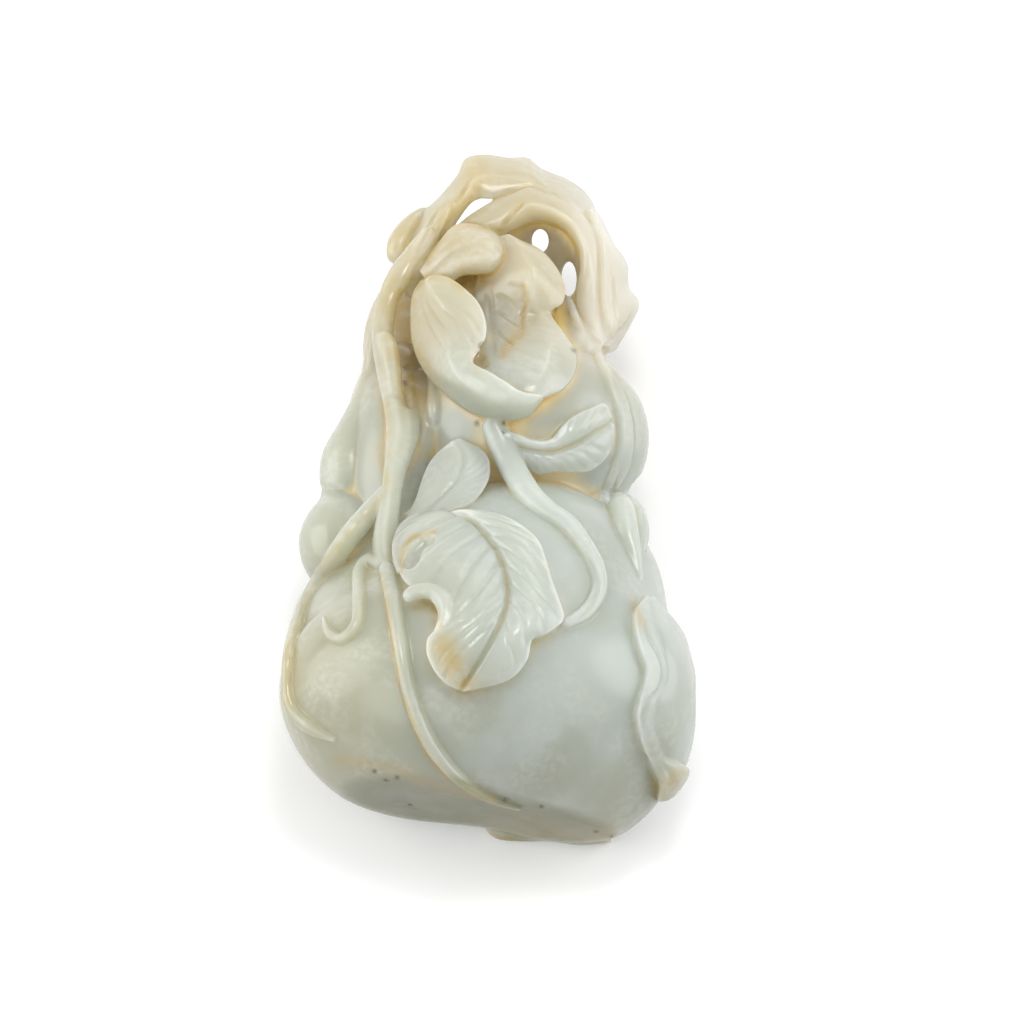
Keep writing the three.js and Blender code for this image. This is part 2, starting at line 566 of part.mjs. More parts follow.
// The blossom over the stem end: petals round a sunken centre.
const blossom = () => [
  // the crescent petal that sweeps from the left round the bottom
  leaf({
    left: [
      [-10.8, 41.1, 29], [-12.1, 38.6, 28.5], [-12.4, 34.9, 28.5], [-12.1, 31.1, 29],
      [-11, 27.9, 29.5], [-9, 24.9, 30], [-6.3, 22.5, 30.5], [-2.7, 20, 32], [1.9, 18.7, 33],
      [6.3, 19.2, 34.5], [9, 22.5, 36.5],
    ],
    rib: [
      [-10, 40.9, 33], [-8.3, 38.4, 34.5], [-6.7, 35.2, 35.5], [-6.2, 32, 36.5], [-6.2, 28.9, 37],
      [-5.1, 26, 37.5], [-2.5, 23.6, 38], [0.6, 21.9, 38.5], [4.1, 21.1, 38.5], [7, 21.3, 38],
      [8.9, 22.7, 37.5],
    ],
    right: [
      [-9.5, 41.7, 32], [-6.7, 41.6, 33.5], [-3.8, 39.7, 35], [-1.3, 37, 36], [-0.2, 33.3, 37],
      [-1, 30.1, 37.5], [-2.4, 27.9, 38], [0.3, 26.3, 39.5], [2.9, 24.7, 40], [5.4, 23.2, 39.5],
      [8.7, 22.7, 38.5],
    ],
    swell: 0.6,
    thick: 7,
    edge: 1.5,
    steps: 14,
  }),
  // the bowl of the blossom, from its upper to its lower right petal
  leaf({
    left: [
      [1.4, 47.9, 29], [0.2, 45.7, 29], [-1.1, 42.8, 29], [-2.1, 39.7, 29], [-2.4, 36.8, 29],
      [-2.5, 34.3, 30.5], [-3, 31.7, 32.5], [-3.2, 28.9, 34.5], [-1.6, 26, 36], [2.2, 23.3, 36.5],
      [6.7, 21.7, 36.5],
    ],
    rib: [
      [3.2, 48.6, 30], [5.4, 45.7, 33], [7, 42.8, 34.5], [7.6, 40, 34], [7.6, 37.4, 32.5],
      [7.6, 34.9, 31.5], [8.7, 32.4, 34], [9.8, 30, 36], [9, 26.7, 37], [7.6, 24.4, 37.5],
      [8.3, 22.8, 37],
    ],
    right: [
      [4.9, 47.6, 30], [8.3, 45.9, 31], [10.8, 43.2, 31], [12.2, 40, 31], [11.9, 37.4, 31],
      [10, 35.7, 31], [12.2, 32.5, 31.5], [14, 29.2, 32], [13.7, 26, 33.5], [11.9, 23.6, 35],
      [9.4, 22.4, 36],
    ],
    swell: 0.6,
    thick: 9,
    edge: 4,
    steps: 11,
  }),
  // the rolled petal at the upper left
  leaf({
    left: [
      [-11, 42.5, 28], [-8.7, 46, 28.5], [-5.6, 49.7, 29], [-2.4, 50.1, 29.5], [0.3, 49.2, 30],
      [2.2, 47.4, 30.5], [2.5, 45.7, 31],
    ],
    rib: [
      [-10.3, 41.4, 28.5], [-7.3, 44.4, 31], [-4.4, 46.3, 32.5], [-2.1, 46.3, 33.5], [0.2, 46.2, 33.5],
      [1.6, 45.9, 33], [2.4, 45.4, 32],
    ],
    right: [
      [-9.2, 40.5, 28.5], [-6.3, 40.5, 30], [-4.1, 41.7, 31], [-1.7, 41.9, 31.5], [0.5, 42.2, 31.5],
      [1.9, 43.6, 31.5], [2.4, 44.9, 31.5],
    ],
    swell: 1.3,
    thick: 7,
    edge: 3,
    steps: 7,
  }),
  // the bulb's shoulder between the blossom and the side blossom
  stem({
    path: [[14.1, 39, 19], [13.7, 34.9, 21], [14.1, 30.6, 23], [15.2, 26.3, 24]],
    radius: [2.2, 3.2, 3.8, 3.8],
    sides: 7,
  }),
  // the side blossom that opens at the right of the arch
  leaf({
    left: [
      [14.3, 51.7, 23], [15.4, 47.3, 23], [15.1, 43.2, 23], [14.3, 39.3, 23], [14.6, 36.2, 23],
      [15.9, 32.4, 23], [17.8, 28.7, 21],
    ],
    rib: [
      [16.5, 52.7, 24], [17.9, 48.9, 25], [18.6, 44.9, 25.5], [18.6, 40.9, 25.5], [19, 37.3, 25.5],
      [19.8, 33.6, 24.5], [19.2, 29.5, 20],
    ],
    right: [
      [18.1, 51.4, 18], [20, 47.3, 18], [22.2, 43.8, 18], [22.5, 40.1, 18], [24.1, 37.4, 18],
      [22.9, 34.3, 18], [20.3, 29.8, 18],
    ],
    swell: 0.8,
    thick: 7,
    edge: 4,
  }),
];

// The two oval eyes that pierce the wall inside the ring, along the line of sight.
const hollows = () => [
  eye([8.3, 47.4], [1.35, 1.9]),
  eye([12.9, 41.3], [1.2, 2.8]),
];

// The plain back: a broad leaf over the waist, a creeper, and the leaf edge under the belly.
const back = () => [
  leaf({
    left: [[14, 24], [4, 23], [-5, 15], [-9, 3], [-7, -7]],
    rib: [[14, 23], [9, 18], [4, 10], [-1, 0], [-6, -8]],
    right: [[15, 22], [16, 12], [12, 2], [5, -6], [-5, -9]],
    rise: [2, 2.6, 2.6, 2.6, 2],
    swell: 0.8,
    thick: 3,
    onto: onBack,
  }),
  stem({
    path: [[14, 24], [19, 13], [19, -1], [16, -13], [20, -25], [24, -37], [23, -49]],
    radius: [1.6, 1.6, 1.5, 1.5, 1.4, 1.3, 0.8],
    lift: 0.5,
    onto: onBack,
    sides: 6,
  }),
  leaf({
    left: [
      [-1.6, -44.5, 4], [1, -47.5, 3], [5.1, -48.1, 2.5], [9.8, -48.1, 2.5], [14.3, -48.7, 2.5],
      [19.7, -48.3, 4],
    ],
    rib: [
      [-1, -43.5, 5], [1.9, -46, 4.5], [5.7, -46.7, 4.5], [10.2, -47, 4.5], [14.6, -47.5, 4.5],
      [19, -47, 5],
    ],
    right: [
      [-0.3, -42.6, 8], [2.5, -43.8, 8], [6, -44.1, 8], [10.5, -44.5, 8], [14.6, -44.8, 8],
      [18.4, -45.4, 8],
    ],
    swell: 0.3,
    thick: 9,
    edge: 8,
  }),
];

const wasm = await Module();
wasm.setup();

function solidOf(geometry) {
  const SAME_POINT = 1e-4;
  const bare = geometry.clone();
  bare.deleteAttribute("normal");
  bare.deleteAttribute("uv");
  const closed = mergeVertices(bare, SAME_POINT);
  const mesh = new wasm.Mesh({
    numProp: 3,
    vertProperties: new Float32Array(closed.attributes.position.array),
    triVerts: new Uint32Array(closed.index.array),
  });
  return new wasm.Manifold(mesh);
}

// All that would lie below the ground, taken off so that the back rests on flat spots.
function belowGround() {
  const [BREADTH, DEPTH] = [200, 20];
  return new THREE.BoxGeometry(BREADTH, BREADTH, DEPTH).translate(0, 0, -DEPTH / 2);
}

// Joins the pieces into one stone and takes the cuts out of it. Gaps that end up sealed inside are
// stone too, so of all the closed shells only the outermost stays.
function fuse(pieces, cuts) {
  const joined = pieces.map(solidOf).reduce((sum, piece) => sum.add(piece));
  const rested = cuts.map(solidOf).reduce((sum, piece) => sum.subtract(piece), joined);
  const shells = rested.decompose().sort((a, b) => b.volume() - a.volume());
  const mesh = shells[0].getMesh();
  const geometry = new THREE.BufferGeometry();
  geometry.setAttribute("position", new THREE.BufferAttribute(new Float32Array(mesh.vertProperties), 3));
  geometry.setIndex(new THREE.BufferAttribute(new Uint32Array(mesh.triVerts), 1));
  geometry.computeVertexNormals();
  return geometry;
}

const jade = new THREE.MeshStandardMaterial({ color: 0xd3d6c6, roughness: 0.25, metalness: 0 });
const parts = [bigGourd, smallGourds, vine, arch, lining, leaves, blossom, back];
const stone = fuse(parts.flatMap((part) => part()), [...hollows(), belowGround()]);
stone.translate(...TO_MIDDLE);
const carving = new THREE.Mesh(stone, jade);
carving.name = "double_gourd_carving";

const group = new THREE.Group();
group.add(carving);

export default group;
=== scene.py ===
"""The jade double gourd carving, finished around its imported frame.

The stone is worked out as one field: the gap from every node of a fine lattice to the skin of the
carving. Gourds, stems, leaves and petals are joined to that field, hollows and fine lines are cut
into it, and its zero becomes the surface. Lengths in the field are millimetres, in the same frame as
the CAD solid, and places are (x, v) or (x, v, z): x to the right, v up the picture that the viewer
sees, and z above the ground. A place without z lies on the skin of the big gourd.
"""

import math

import bpy
import numpy as np
import openvdb
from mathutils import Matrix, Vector


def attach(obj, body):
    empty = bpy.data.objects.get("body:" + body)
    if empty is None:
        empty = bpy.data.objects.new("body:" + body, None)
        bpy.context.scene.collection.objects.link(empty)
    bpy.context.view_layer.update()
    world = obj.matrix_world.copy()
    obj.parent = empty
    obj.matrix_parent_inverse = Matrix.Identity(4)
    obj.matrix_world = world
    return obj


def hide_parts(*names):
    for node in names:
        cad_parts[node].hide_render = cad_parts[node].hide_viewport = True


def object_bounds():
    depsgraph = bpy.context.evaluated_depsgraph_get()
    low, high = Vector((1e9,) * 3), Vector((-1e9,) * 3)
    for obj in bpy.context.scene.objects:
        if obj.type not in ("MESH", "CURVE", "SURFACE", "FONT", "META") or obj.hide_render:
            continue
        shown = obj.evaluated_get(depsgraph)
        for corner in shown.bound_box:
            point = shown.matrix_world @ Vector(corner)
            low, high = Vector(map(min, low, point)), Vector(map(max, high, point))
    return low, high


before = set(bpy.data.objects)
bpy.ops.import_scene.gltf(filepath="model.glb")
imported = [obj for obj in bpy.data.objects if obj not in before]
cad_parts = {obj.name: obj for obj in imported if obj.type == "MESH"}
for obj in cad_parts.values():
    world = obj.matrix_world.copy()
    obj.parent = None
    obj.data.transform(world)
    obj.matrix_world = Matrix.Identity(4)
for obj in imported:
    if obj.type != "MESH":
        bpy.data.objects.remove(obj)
cad_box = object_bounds()

MM = 0.001

# The line of sight that the relief is laid out for, above the ground.
SIGHT_ANGLE = math.radians(60)
RISE = math.sin(SIGHT_ANGLE)
RUN = math.cos(SIGHT_ANGLE)
TO_VIEWER = np.array([0, -RUN, RISE])
# How far the finished stone is moved to put its middle over the frame's origin.
TO_MIDDLE = np.array([0, 1, 0])

# The lattice: the spacing of its nodes, its corners and how many nodes deep the gap is kept.
NODE_GAP = 0.2
LOWEST = np.array([-35.0, -63.0, -1.5])
HIGHEST = np.array([35.0, 63.0, 47.0])
BAND = 1.6
# How the skin is looked for along a line of sight: the heights where the search starts and ends, its
# coarse steps, and the halvings of the last step.
SEARCH_START = HIGHEST[2] + 3
SEARCH_END = -0.1
SEARCH_STEP = 0.5
HALVINGS = 14
# How far to both sides the slope of the skin is probed.
PROBE = 0.1
# How many steps bring a point near the surface onto it.
SETTLING_STEPS = 2

# The big double gourd: each lobe is an ellipsoid with a middle and three half widths.
BELLY = ((-0.8, -39.8, 20.5), (32.2, 21, 20.7))
SHOULDER = ((4.5, -18.8, 17), (22.5, 16.5, 18))
LEFT_SHOULDER = ((-10, -26, 14), (19.5, 15.5, 13.5))
RIGHT_HEEL = ((12, -44.8, 13), (18, 18, 13.5))
LEFT_HEEL = ((-10, -39.8, 13), (19, 17, 13.5))
CROWN = ((5.6, 9, 16), (19, 18, 16.4))
SHOULDER_BLEND = 14
HEEL_BLEND = 6
WAIST_BLEND = 1.5
END_FLAT_POINT = (0, -60.2, 23)
END_FLAT_OUTWARD = (-0.15, -1, -0.19)
END_FLAT_EDGE = 1.4
# Small dark pits in that flat.
PITS = (
    (-17.9, -36.8), (-16.2, -38.3), (-12.4, -42.1), (2.7, -41.3),
    (8.4, -42.4), (17, -46.4), (19.5, -47.3), (-14.3, -37.8),
)
PIT_RADIUS = 0.35
# The hollow in the upper bulb that the blossom sits in.
SEAT = (2.7, 34.3, 43)
SEAT_HALF = (10, 12, 13)
SEAT_EDGE = 1.5

# Stone behind the open work of the stem end and between the big gourd and the small one.
CORE = ((0.5, 27.2, 16.5), (11.5, 16, 12))
BACKING = ((-5, 29.2, 10), (15, 18, 8))
FLANK = ((-14, 4, 14), (9.5, 23, 12.5))

# How softly pieces run into each other, and how fine their surfaces are stepped.
JOIN = 0.5
STEP = 0.35
SWELL_AT_ENDS = 0.1
SIDES_OF_A_STEM = 28
# The share of its section that a stem keeps at its very ends.
SECTION_AT_ENDS = 0.02
# The fewest steps along a leaf and across it.
LEAST_ALONG = 12
LEAST_ACROSS = 8
# How many points a path and a furrow are first worked out at, for each of their places.
POINTS_A_PLACE = 24
FURROW_POINTS_A_PLACE = 16
# How wide the lip, the furrow of the rib and the side veins of a leaf are.
RIM_WIDTH = 0.45
GROOVE_WIDTH = 0.4
VEIN_WIDTH = 0.3
# The side veins: how far from the base the first one starts, in gaps between two, how they bend on
# their way out, the share of the half width where they end, how quickly they fade there, and the half
# width below which they are faint.
FIRST_VEIN = 0.6
VEIN_BEND = 0.8
VEIN_END = 0.93
VEIN_FADE = 8
VEINED_WIDTH = 1.5
# How soft the edge of a line cut into the stone is, and how far apart it is stepped.
FURROW_EDGE = 0.25
FURROW_STEP = 0.15
# A furrow tapers off over one part in this many of its length at each end, and the gap is worked out
# this far round it.
FURROW_TAPER = 6
FURROW_REACH = 1
TRIANGLES_AT_MOST = 190_000


def seen(x, v, z):
    """The frame's points for places laid out as the viewer sees them."""
    x, v, z = np.broadcast_arrays(*(np.asarray(value, float) for value in (x, v, z)))
    return np.stack([x, (v - z * RUN) / RISE, z], axis=-1)


def unit(vectors):
    return vectors / np.maximum(np.linalg.norm(vectors, axis=-1, keepdims=True), 1e-9)


def blended_union(a, b, width):
    share = np.clip(0.5 + 0.5 * (b - a) / width, 0, 1)
    return b + (a - b) * share - width * share * (1 - share)


def blended_cut(a, b, width):
    return -blended_union(-a, -b, width)


def ellipsoid_gap(x, y, z, lobe):
    middle, half = lobe
    offsets = [axis - start for axis, start in zip((x, y, z), middle)]
    near = np.sqrt(sum((offset / reach) ** 2 for offset, reach in zip(offsets, half)))
    slope = np.sqrt(sum((offset / reach**2) ** 2 for offset, reach in zip(offsets, half)))
    return near * (near - 1) / np.maximum(slope, 1e-6)


def belly_gap(x, y, z):
    gap = blended_union(ellipsoid_gap(x, y, z, BELLY), ellipsoid_gap(x, y, z, SHOULDER), SHOULDER_BLEND)
    for lobe in (LEFT_SHOULDER, RIGHT_HEEL, LEFT_HEEL):
        gap = blended_union(gap, ellipsoid_gap(x, y, z, lobe), HEEL_BLEND)
    outward = unit(np.array(END_FLAT_OUTWARD, float))
    flat = sum(n * (axis - at) for n, axis, at in zip(outward, (x, y, z), END_FLAT_POINT))
    return blended_cut(gap, flat, END_FLAT_EDGE)


def crown_gap(x, y, z):
    seat = (seen(*SEAT), SEAT_HALF)
    return blended_cut(ellipsoid_gap(x, y, z, CROWN), -ellipsoid_gap(x, y, z, seat), SEAT_EDGE)


def skin_gap(points):
    x, y, z = np.moveaxis(points, -1, 0)
    return np.minimum(belly_gap(x, y, z), crown_gap(x, y, z))


def skin_normal(points):
    offset = PROBE * np.eye(3)
    slopes = [skin_gap(points + offset[i]) - skin_gap(points - offset[i]) for i in range(3)]
    return unit(np.stack(slopes, axis=-1))


def lifted(points, lift):
    return points + skin_normal(points) * (lift - skin_gap(points))[..., None]


def on_skin(x, v, lift):
    """Goes down each line of sight to the skin of the big gourd and lifts the point off it.
    Where the line passes the gourd by, the nearest stretch of skin is used."""
    heights = np.arange(SEARCH_START, SEARCH_END, -SEARCH_STEP)
    gaps = skin_gap(seen(x[..., None], v[..., None], heights))
    hit = gaps <= 0
    first = np.where(hit.any(-1), hit.argmax(-1), gaps.argmin(-1))
    inside = heights[first]
    outside = np.where(hit.any(-1), inside + SEARCH_STEP, inside)
    for _ in range(HALVINGS):
        half = (inside + outside) / 2
        above = skin_gap(seen(x, v, half)) > 0
        outside = np.where(above, half, outside)
        inside = np.where(above, inside, half)
    return lifted(seen(x, v, inside), lift)


def on_back(x, y, lift):
    """Goes straight up through (x, y) to the back of the gourd and lifts the point off it."""
    heights = np.arange(0, BELLY[0][2], SEARCH_STEP / 2)
    columns = np.stack(np.broadcast_arrays(x[..., None], y[..., None], heights), axis=-1)
    hit = skin_gap(columns) <= 0
    first = np.where(hit.any(-1), hit.argmax(-1), len(heights) - 1)
    return lifted(np.stack([x, y, heights[first]], axis=-1), lift)


def curve(values, t):
    """A smooth curve through evenly spaced values, read at t from 0 to 1."""
    values = np.asarray(values, float)
    if values.ndim == 0:
        return np.full(np.shape(t), float(values))
    padded = np.concatenate([[2 * values[0] - values[1]], values, [2 * values[-1] - values[-2]]])
    at = np.clip(t, 0, 1) * (len(values) - 1)
    i = np.minimum(at.astype(int), len(values) - 2)
    f = (at - i).reshape(at.shape + (1,) * (values.ndim - 1))
    p0, p1, p2, p3 = (padded[i + k] for k in range(4))
    bend = (2 * p0 - 5 * p1 + 4 * p2 - p3) * f**2 + (3 * p1 - p0 - 3 * p2 + p3) * f**3
    return (2 * p1 + (p2 - p0) * f + bend) / 2


def trail(path, lift, onto):
    """Closely spaced points along a path. Places without a height lie on the skin, lifted off it."""
    t = np.linspace(0, 1, POINTS_A_PLACE * len(path))
    if all(len(place) == 2 for place in path):
        at = curve(path, t)
        return onto(at[:, 0], at[:, 1], lift)
    firm = [
        seen(*place) if len(place) == 3 else onto(*np.array(place, float)[:, None], lift)[0]
        for place in path
    ]
    return curve(firm, t)


def evenly(points, spacing):
    """The same line with its points a set spacing apart, how far along each one is, and its share
    of the line's own places."""
    reach = np.concatenate([[0], np.cumsum(np.linalg.norm(np.diff(points, axis=0), axis=1))])
    count = max(2, round(reach[-1] / spacing) + 1)
    along = np.linspace(0, reach[-1], count)
    share = np.interp(along, reach, np.linspace(0, 1, len(reach)))
    return np.stack([np.interp(along, reach, axis) for axis in points.T], axis=1), along, share


def loft(rings):
    """Closes a row of rings, each a loop of as many points, with a fan at both ends."""
    rows, size = rings.shape[:2]
    points = np.concatenate([rings.reshape(-1, 3), rings[0].mean(0)[None], rings[-1].mean(0)[None]])
    row, column = np.meshgrid(np.arange(rows - 1), np.arange(size), indexing="ij")
    a = (row * size + column).ravel()
    b = (row * size + (column + 1) % size).ravel()
    sides = [np.stack([a, b, b + size], 1), np.stack([a, b + size, a + size], 1)]
    j = np.arange(size)
    k = (j + 1) % size
    first, last = rows * size, rows * size + 1
    end = (rows - 1) * size
    fans = [np.stack([k, j, j * 0 + first], 1), np.stack([j + end, k + end, j * 0 + last], 1)]
    faces = np.concatenate(sides + fans)
    corner = points[faces]
    if np.einsum("ij,ij->i", corner[:, 0], np.cross(corner[:, 1], corner[:, 2])).sum() < 0:
        faces = faces[:, ::-1]
    return points, faces


def stem(path, radius, lift=0, onto=on_skin, flutes=0, depth=0.0, twist=0.0):
    """A stem, tendril, bud or small gourd: a round body of changing radius along a path, with
    flutes that run its length and turn round it."""
    points, along, share = evenly(trail(path, lift, onto), STEP)
    r = curve(radius, share)
    for reach, rounding in ((along, r[0]), (along[-1] - along, r[-1])):
        rounding = max(rounding, STEP)
        r = r * np.sqrt(np.clip(1 - (1 - np.clip(reach / rounding, 0, 1)) ** 2, SECTION_AT_ENDS, 1))
    tangent = unit(np.gradient(points, axis=0))
    side = np.cross(tangent[0], TO_VIEWER)
    normals = []
    for direction in tangent:
        side = unit(side - direction * side.dot(direction))
        normals.append(side)
    normals = np.array(normals)
    across = np.cross(tangent, normals)
    turn = np.linspace(0, 2 * math.pi, SIDES_OF_A_STEM, endpoint=False)
    flute = 1 + depth * np.cos(flutes * turn[None] + twist * along[:, None])
    widths = (r[:, None] * flute)[..., None]
    rings = points[:, None] + widths * (
        np.cos(turn)[None, :, None] * normals[:, None] + np.sin(turn)[None, :, None] * across[:, None]
    )
    return loft(rings)


# The heights between which an oval hole is cut: from below the ground to above the ring.
HOLE_HEIGHTS = np.linspace(-2, 27, 30)
SIDES_OF_A_HOLE = 40


def eye(place, half):
    """An oval hole along the line of sight, through everything behind it."""
    turn = np.linspace(0, 2 * math.pi, SIDES_OF_A_HOLE, endpoint=False)
    x = place[0] + half[0] * np.cos(turn)
    v = place[1] + half[1] * np.sin(turn)
    return loft(np.stack([seen(x, v, z) for z in HOLE_HEIGHTS]))


def dip(distance, width):
    return np.exp(-((distance / width) ** 2))


def leaf(
    left, rib, right, rise=1, swell=0.5, thick=2.5, edge=0.8, onto=on_skin,
    groove=0.0, rim=0.0, veins=0, slant=0.25, vein=0.0, tuck=0.0,
):
    """A leaf, petal or flat branch between a left and a right edge, with a rib between them. Both
    halves swell above the rib. On the skin, rise lifts it from base to tip. Free of it, the three
    curves carry their own heights. thick is the depth below the rib and edge the depth at the edges.
    groove is the depth of the rib's furrow, rim the height of the lip along the edges, veins the
    number of side veins in each half, slant how far they run towards the tip, and vein their depth.
    tuck is how far the underside is cut in below the edges, as a share of the half width."""
    free = len(rib[0]) == 3
    length = np.linalg.norm(np.diff(np.array(rib, float)[:, :2], axis=0), axis=1).sum()
    steps = max(LEAST_ALONG, round(length / STEP))
    t = np.linspace(0, 1, steps + 1)
    l, m, r = (curve(line, t)[:, None] for line in (left, rib, right))
    widest = max(np.linalg.norm((side - m)[..., :2], axis=-1).max() for side in (l, r))
    across = max(LEAST_ACROSS, round(2 * widest / STEP))
    t = t[:, None]
    lengthwise = np.sin(math.pi * (SWELL_AT_ENDS + (1 - 2 * SWELL_AT_ENDS) * t))

    def point(share, drop, relief=0):
        """A row of points from base to tip at a share of the half width, a depth below the face."""
        share = np.atleast_2d(share)
        side = np.where(share[..., None] < 0, l, r)
        spot = m + (side - m) * np.abs(share)[..., None]
        hump = swell * np.sin(math.pi * np.abs(share)) * lengthwise + relief
        if free:
            return seen(spot[..., 0], spot[..., 1], spot[..., 2] + hump - drop)
        lift = curve(rise, t) + hump if drop is None else np.full(hump.shape, -float(drop))
        return onto(spot[..., 0], spot[..., 1], lift)

    share = np.linspace(-1, 1, across + 1)[None]
    half = np.where(share < 0, *(np.linalg.norm((side - m)[..., :2], axis=-1) for side in (l, r)))
    relief = rim * dip((1 - np.abs(share)) * half, RIM_WIDTH) - groove * dip(share * half, GROOVE_WIDTH)
    for i in range(veins):
        start = (i + FIRST_VEIN) / (veins + FIRST_VEIN)
        away = (t - start * (1 - slant) - slant * np.abs(share) ** VEIN_BEND) * length
        fade = np.clip((VEIN_END - np.abs(share)) * VEIN_FADE, 0, 1) * np.clip(half / VEINED_WIDTH, 0, 1)
        relief = relief - vein * dip(away, VEIN_WIDTH) * fade
    top = point(share, 0 if free else None, relief)
    under = [point(1 - tuck, edge), point(0, thick), point(tuck - 1, edge)]
    return loft(np.concatenate([top, *under], axis=1))


def small_gourds():
    """Small double gourds: a neck, an upper bulb, a waist and a lower bulb along one path."""
    yield stem(
        path=[
            (-16.5, 37.8, 22), (-17.8, 30.6, 21), (-18.7, 24.3, 20), (-20.2, 17.9, 19),
            (-21.6, 12.4, 18), (-22.5, 7.9, 17.5), (-23, 6, 17), (-23, 2.5, 17), (-23, -1.3, 17),
            (-23.2, -5.4, 17), (-23.3, -8, 17),
        ],
        radius=[1.4, 1.7, 1.9, 3.4, 4.9, 4.4, 3.7, 6.2, 7.1, 5.6, 1.5],
    )
    # the bud at the right of the waist, with another behind it
    yield stem(
        path=[
            (20.8, 6.5, 24), (21.1, 4.1, 27), (21.9, 1.3, 29), (22.9, -1.6, 29.3),
            (23.7, -4.5, 29.4), (24.3, -6.8, 29.4),
        ],
        radius=[1.2, 2.3, 2.0, 1.4, 0.8, 0.4],
    )
    yield stem(
        path=[
            (21.6, 6.3, 22.5), (23.2, 4.3, 25), (24, 2, 25.6), (24.3, -0.2, 26),
            (24.6, -2.2, 26.5),
        ],
        radius=[1.0, 1.5, 1.5, 1.2, 0.5],
    )


def vine():
    """The stems of the vine, from the arch over the top down to the creepers on the belly."""
    # the main stem beside the blossom
    yield stem(
        path=[
            (-9.2, 49.5, 26), (-11.6, 45.7, 26.5), (-13.8, 42, 26), (-15.9, 37.8, 25),
            (-16.8, 32.4, 25), (-16.2, 26.7, 26), (-14.9, 20.6, 27), (-14.1, 15.5, 28),
            (-15.1, 9.5, 29), (-15.9, 4.1, 30), (-16.5, -1.1, 31.5), (-16, -5.7, 34.5),
        ],
        radius=[0.7, 1.4, 1.9, 1.7, 1.7, 1.7, 1.8, 2.4, 1.8, 1.8, 1.9, 0.8],
        flutes=3, depth=0.09, twist=0.05,
    )
    yield stem(path=[(-13, 20.3, 27), (-12.5, 16.5, 28), (-13.7, 12.4, 29)], radius=[1.2, 1.5, 1.0])
    # the second stem of the left foot, down to the deep gap
    yield stem(
        path=[
            (-7.3, 50.1, 24.5), (-9.2, 47, 26), (-11, 44.1, 26), (-12.1, 41.3, 25),
            (-12.7, 38.1, 23),
        ],
        radius=[0.6, 1.1, 1.4, 1.3, 0.9],
    )
    # the stems in the deep gap between the main stem and the upper bulb
    yield stem(
        path=[
            (-10, 26.3, 21), (-10.3, 22.2, 22.5), (-10.3, 18.1, 24), (-10.5, 14, 24),
            (-11.4, 10.5, 21),
        ],
        radius=[2.4, 3.0, 3.0, 2.2, 1.2],
    )
    yield stem(path=[
        (-8.9, 27, 25), (-8.6, 23.2, 26.5), (-8.6, 19.7, 27), (-7.9, 15.9, 25),
    ], radius=[0.8, 1.1, 1.2, 0.8])
    yield stem(path=[
        (-12.7, 24.4, 24), (-12.2, 20.6, 26), (-12.1, 16.8, 27.5), (-13.3, 12, 28.5),
    ], radius=[0.9, 1.2, 1.3, 0.9])
    # the sheath where the lower stem leaves the upper one
    yield stem(path=[
        (-17.1, 32.4, 26), (-16, 30.6, 27), (-15.2, 26.3, 27.5), (-14.6, 21.9, 28),
    ], radius=[1.0, 1.6, 1.5, 1.0])
    # the long stem down the belly
    yield stem(
        path=[
            (-15.9, -4.6), (-14.8, -10.2), (-13.7, -17), (-12.4, -23.8), (-10.6, -29.2),
            (-7.9, -34), (-4, -38.1), (0.6, -41), (5.4, -42.6),
        ],
        radius=[1.3, 1.25, 1.2, 1.2, 1.25, 1.2, 1.1, 0.8, 0.4],
        lift=0.3,
        flutes=2, depth=0.1, twist=0.06,
    )
    # the creeper down the left flank
    yield stem(
        path=[
            (-15.4, 7.8, 30), (-19, 3.8, 28.5), (-22.7, -0.8, 27.5), (-26.3, -6), (-29.2, -11.6),
            (-31, -17.8), (-31.4, -24.1), (-30.3, -27.5), (-27.6, -29.9), (-23.8, -31.9),
        ],
        radius=[1.4, 1.6, 1.65, 1.55, 1.3, 1.05, 1.05, 1.2, 1.1, 0.3],
        lift=0.4,
        flutes=2, depth=0.08, twist=0.05,
    )
    # the small hooked tendril
    yield stem(
        path=[
            (-16.5, -4.8), (-18.6, -3.7), (-20.2, -5.6), (-20.3, -9.9), (-20.6, -13.7),
            (-22.7, -16), (-24.9, -15.3), (-25.9, -12.7),
        ],
        radius=[1.1, 1.1, 1.1, 1.0, 0.95, 0.9, 0.7, 0.3],
        lift=0.35,
    )
    # the creeper from the blossom over the waist to the large leaf
    yield stem(
        path=[
            (0.2, 19.3, 32), (1.7, 16, 31), (3.5, 11.9, 31), (5.9, 7.8, 33.5), (9, 4.7, 35),
            (12.4, 1.9), (15.2, -1.6), (17.1, -5.3), (17.3, -8.6), (15.4, -11.8), (11.7, -14),
        ],
        radius=[1.7, 2.0, 2.0, 1.9, 1.7, 1.5, 1.3, 1.2, 1.1, 1.1, 0.8],
        lift=0.6,
        flutes=2, depth=0.1, twist=0.03,
    )
    # the creeper down the right flank of the crown
    yield stem(
        path=[
            (12.5, 39, 25.5), (13.2, 37.1, 26), (14.1, 34.7, 26.3), (15.2, 32.2, 26), (16.5, 29.8),
            (17.8, 27.6), (19.5, 23.5), (20.6, 19.5), (20.8, 14.6), (19.5, 9.8), (17.9, 6.3),
        ],
        radius=[0.4, 0.6, 0.7, 0.7, 0.7, 0.7, 0.7, 0.7, 0.7, 0.7, 0.4],
        lift=0.35,
    )
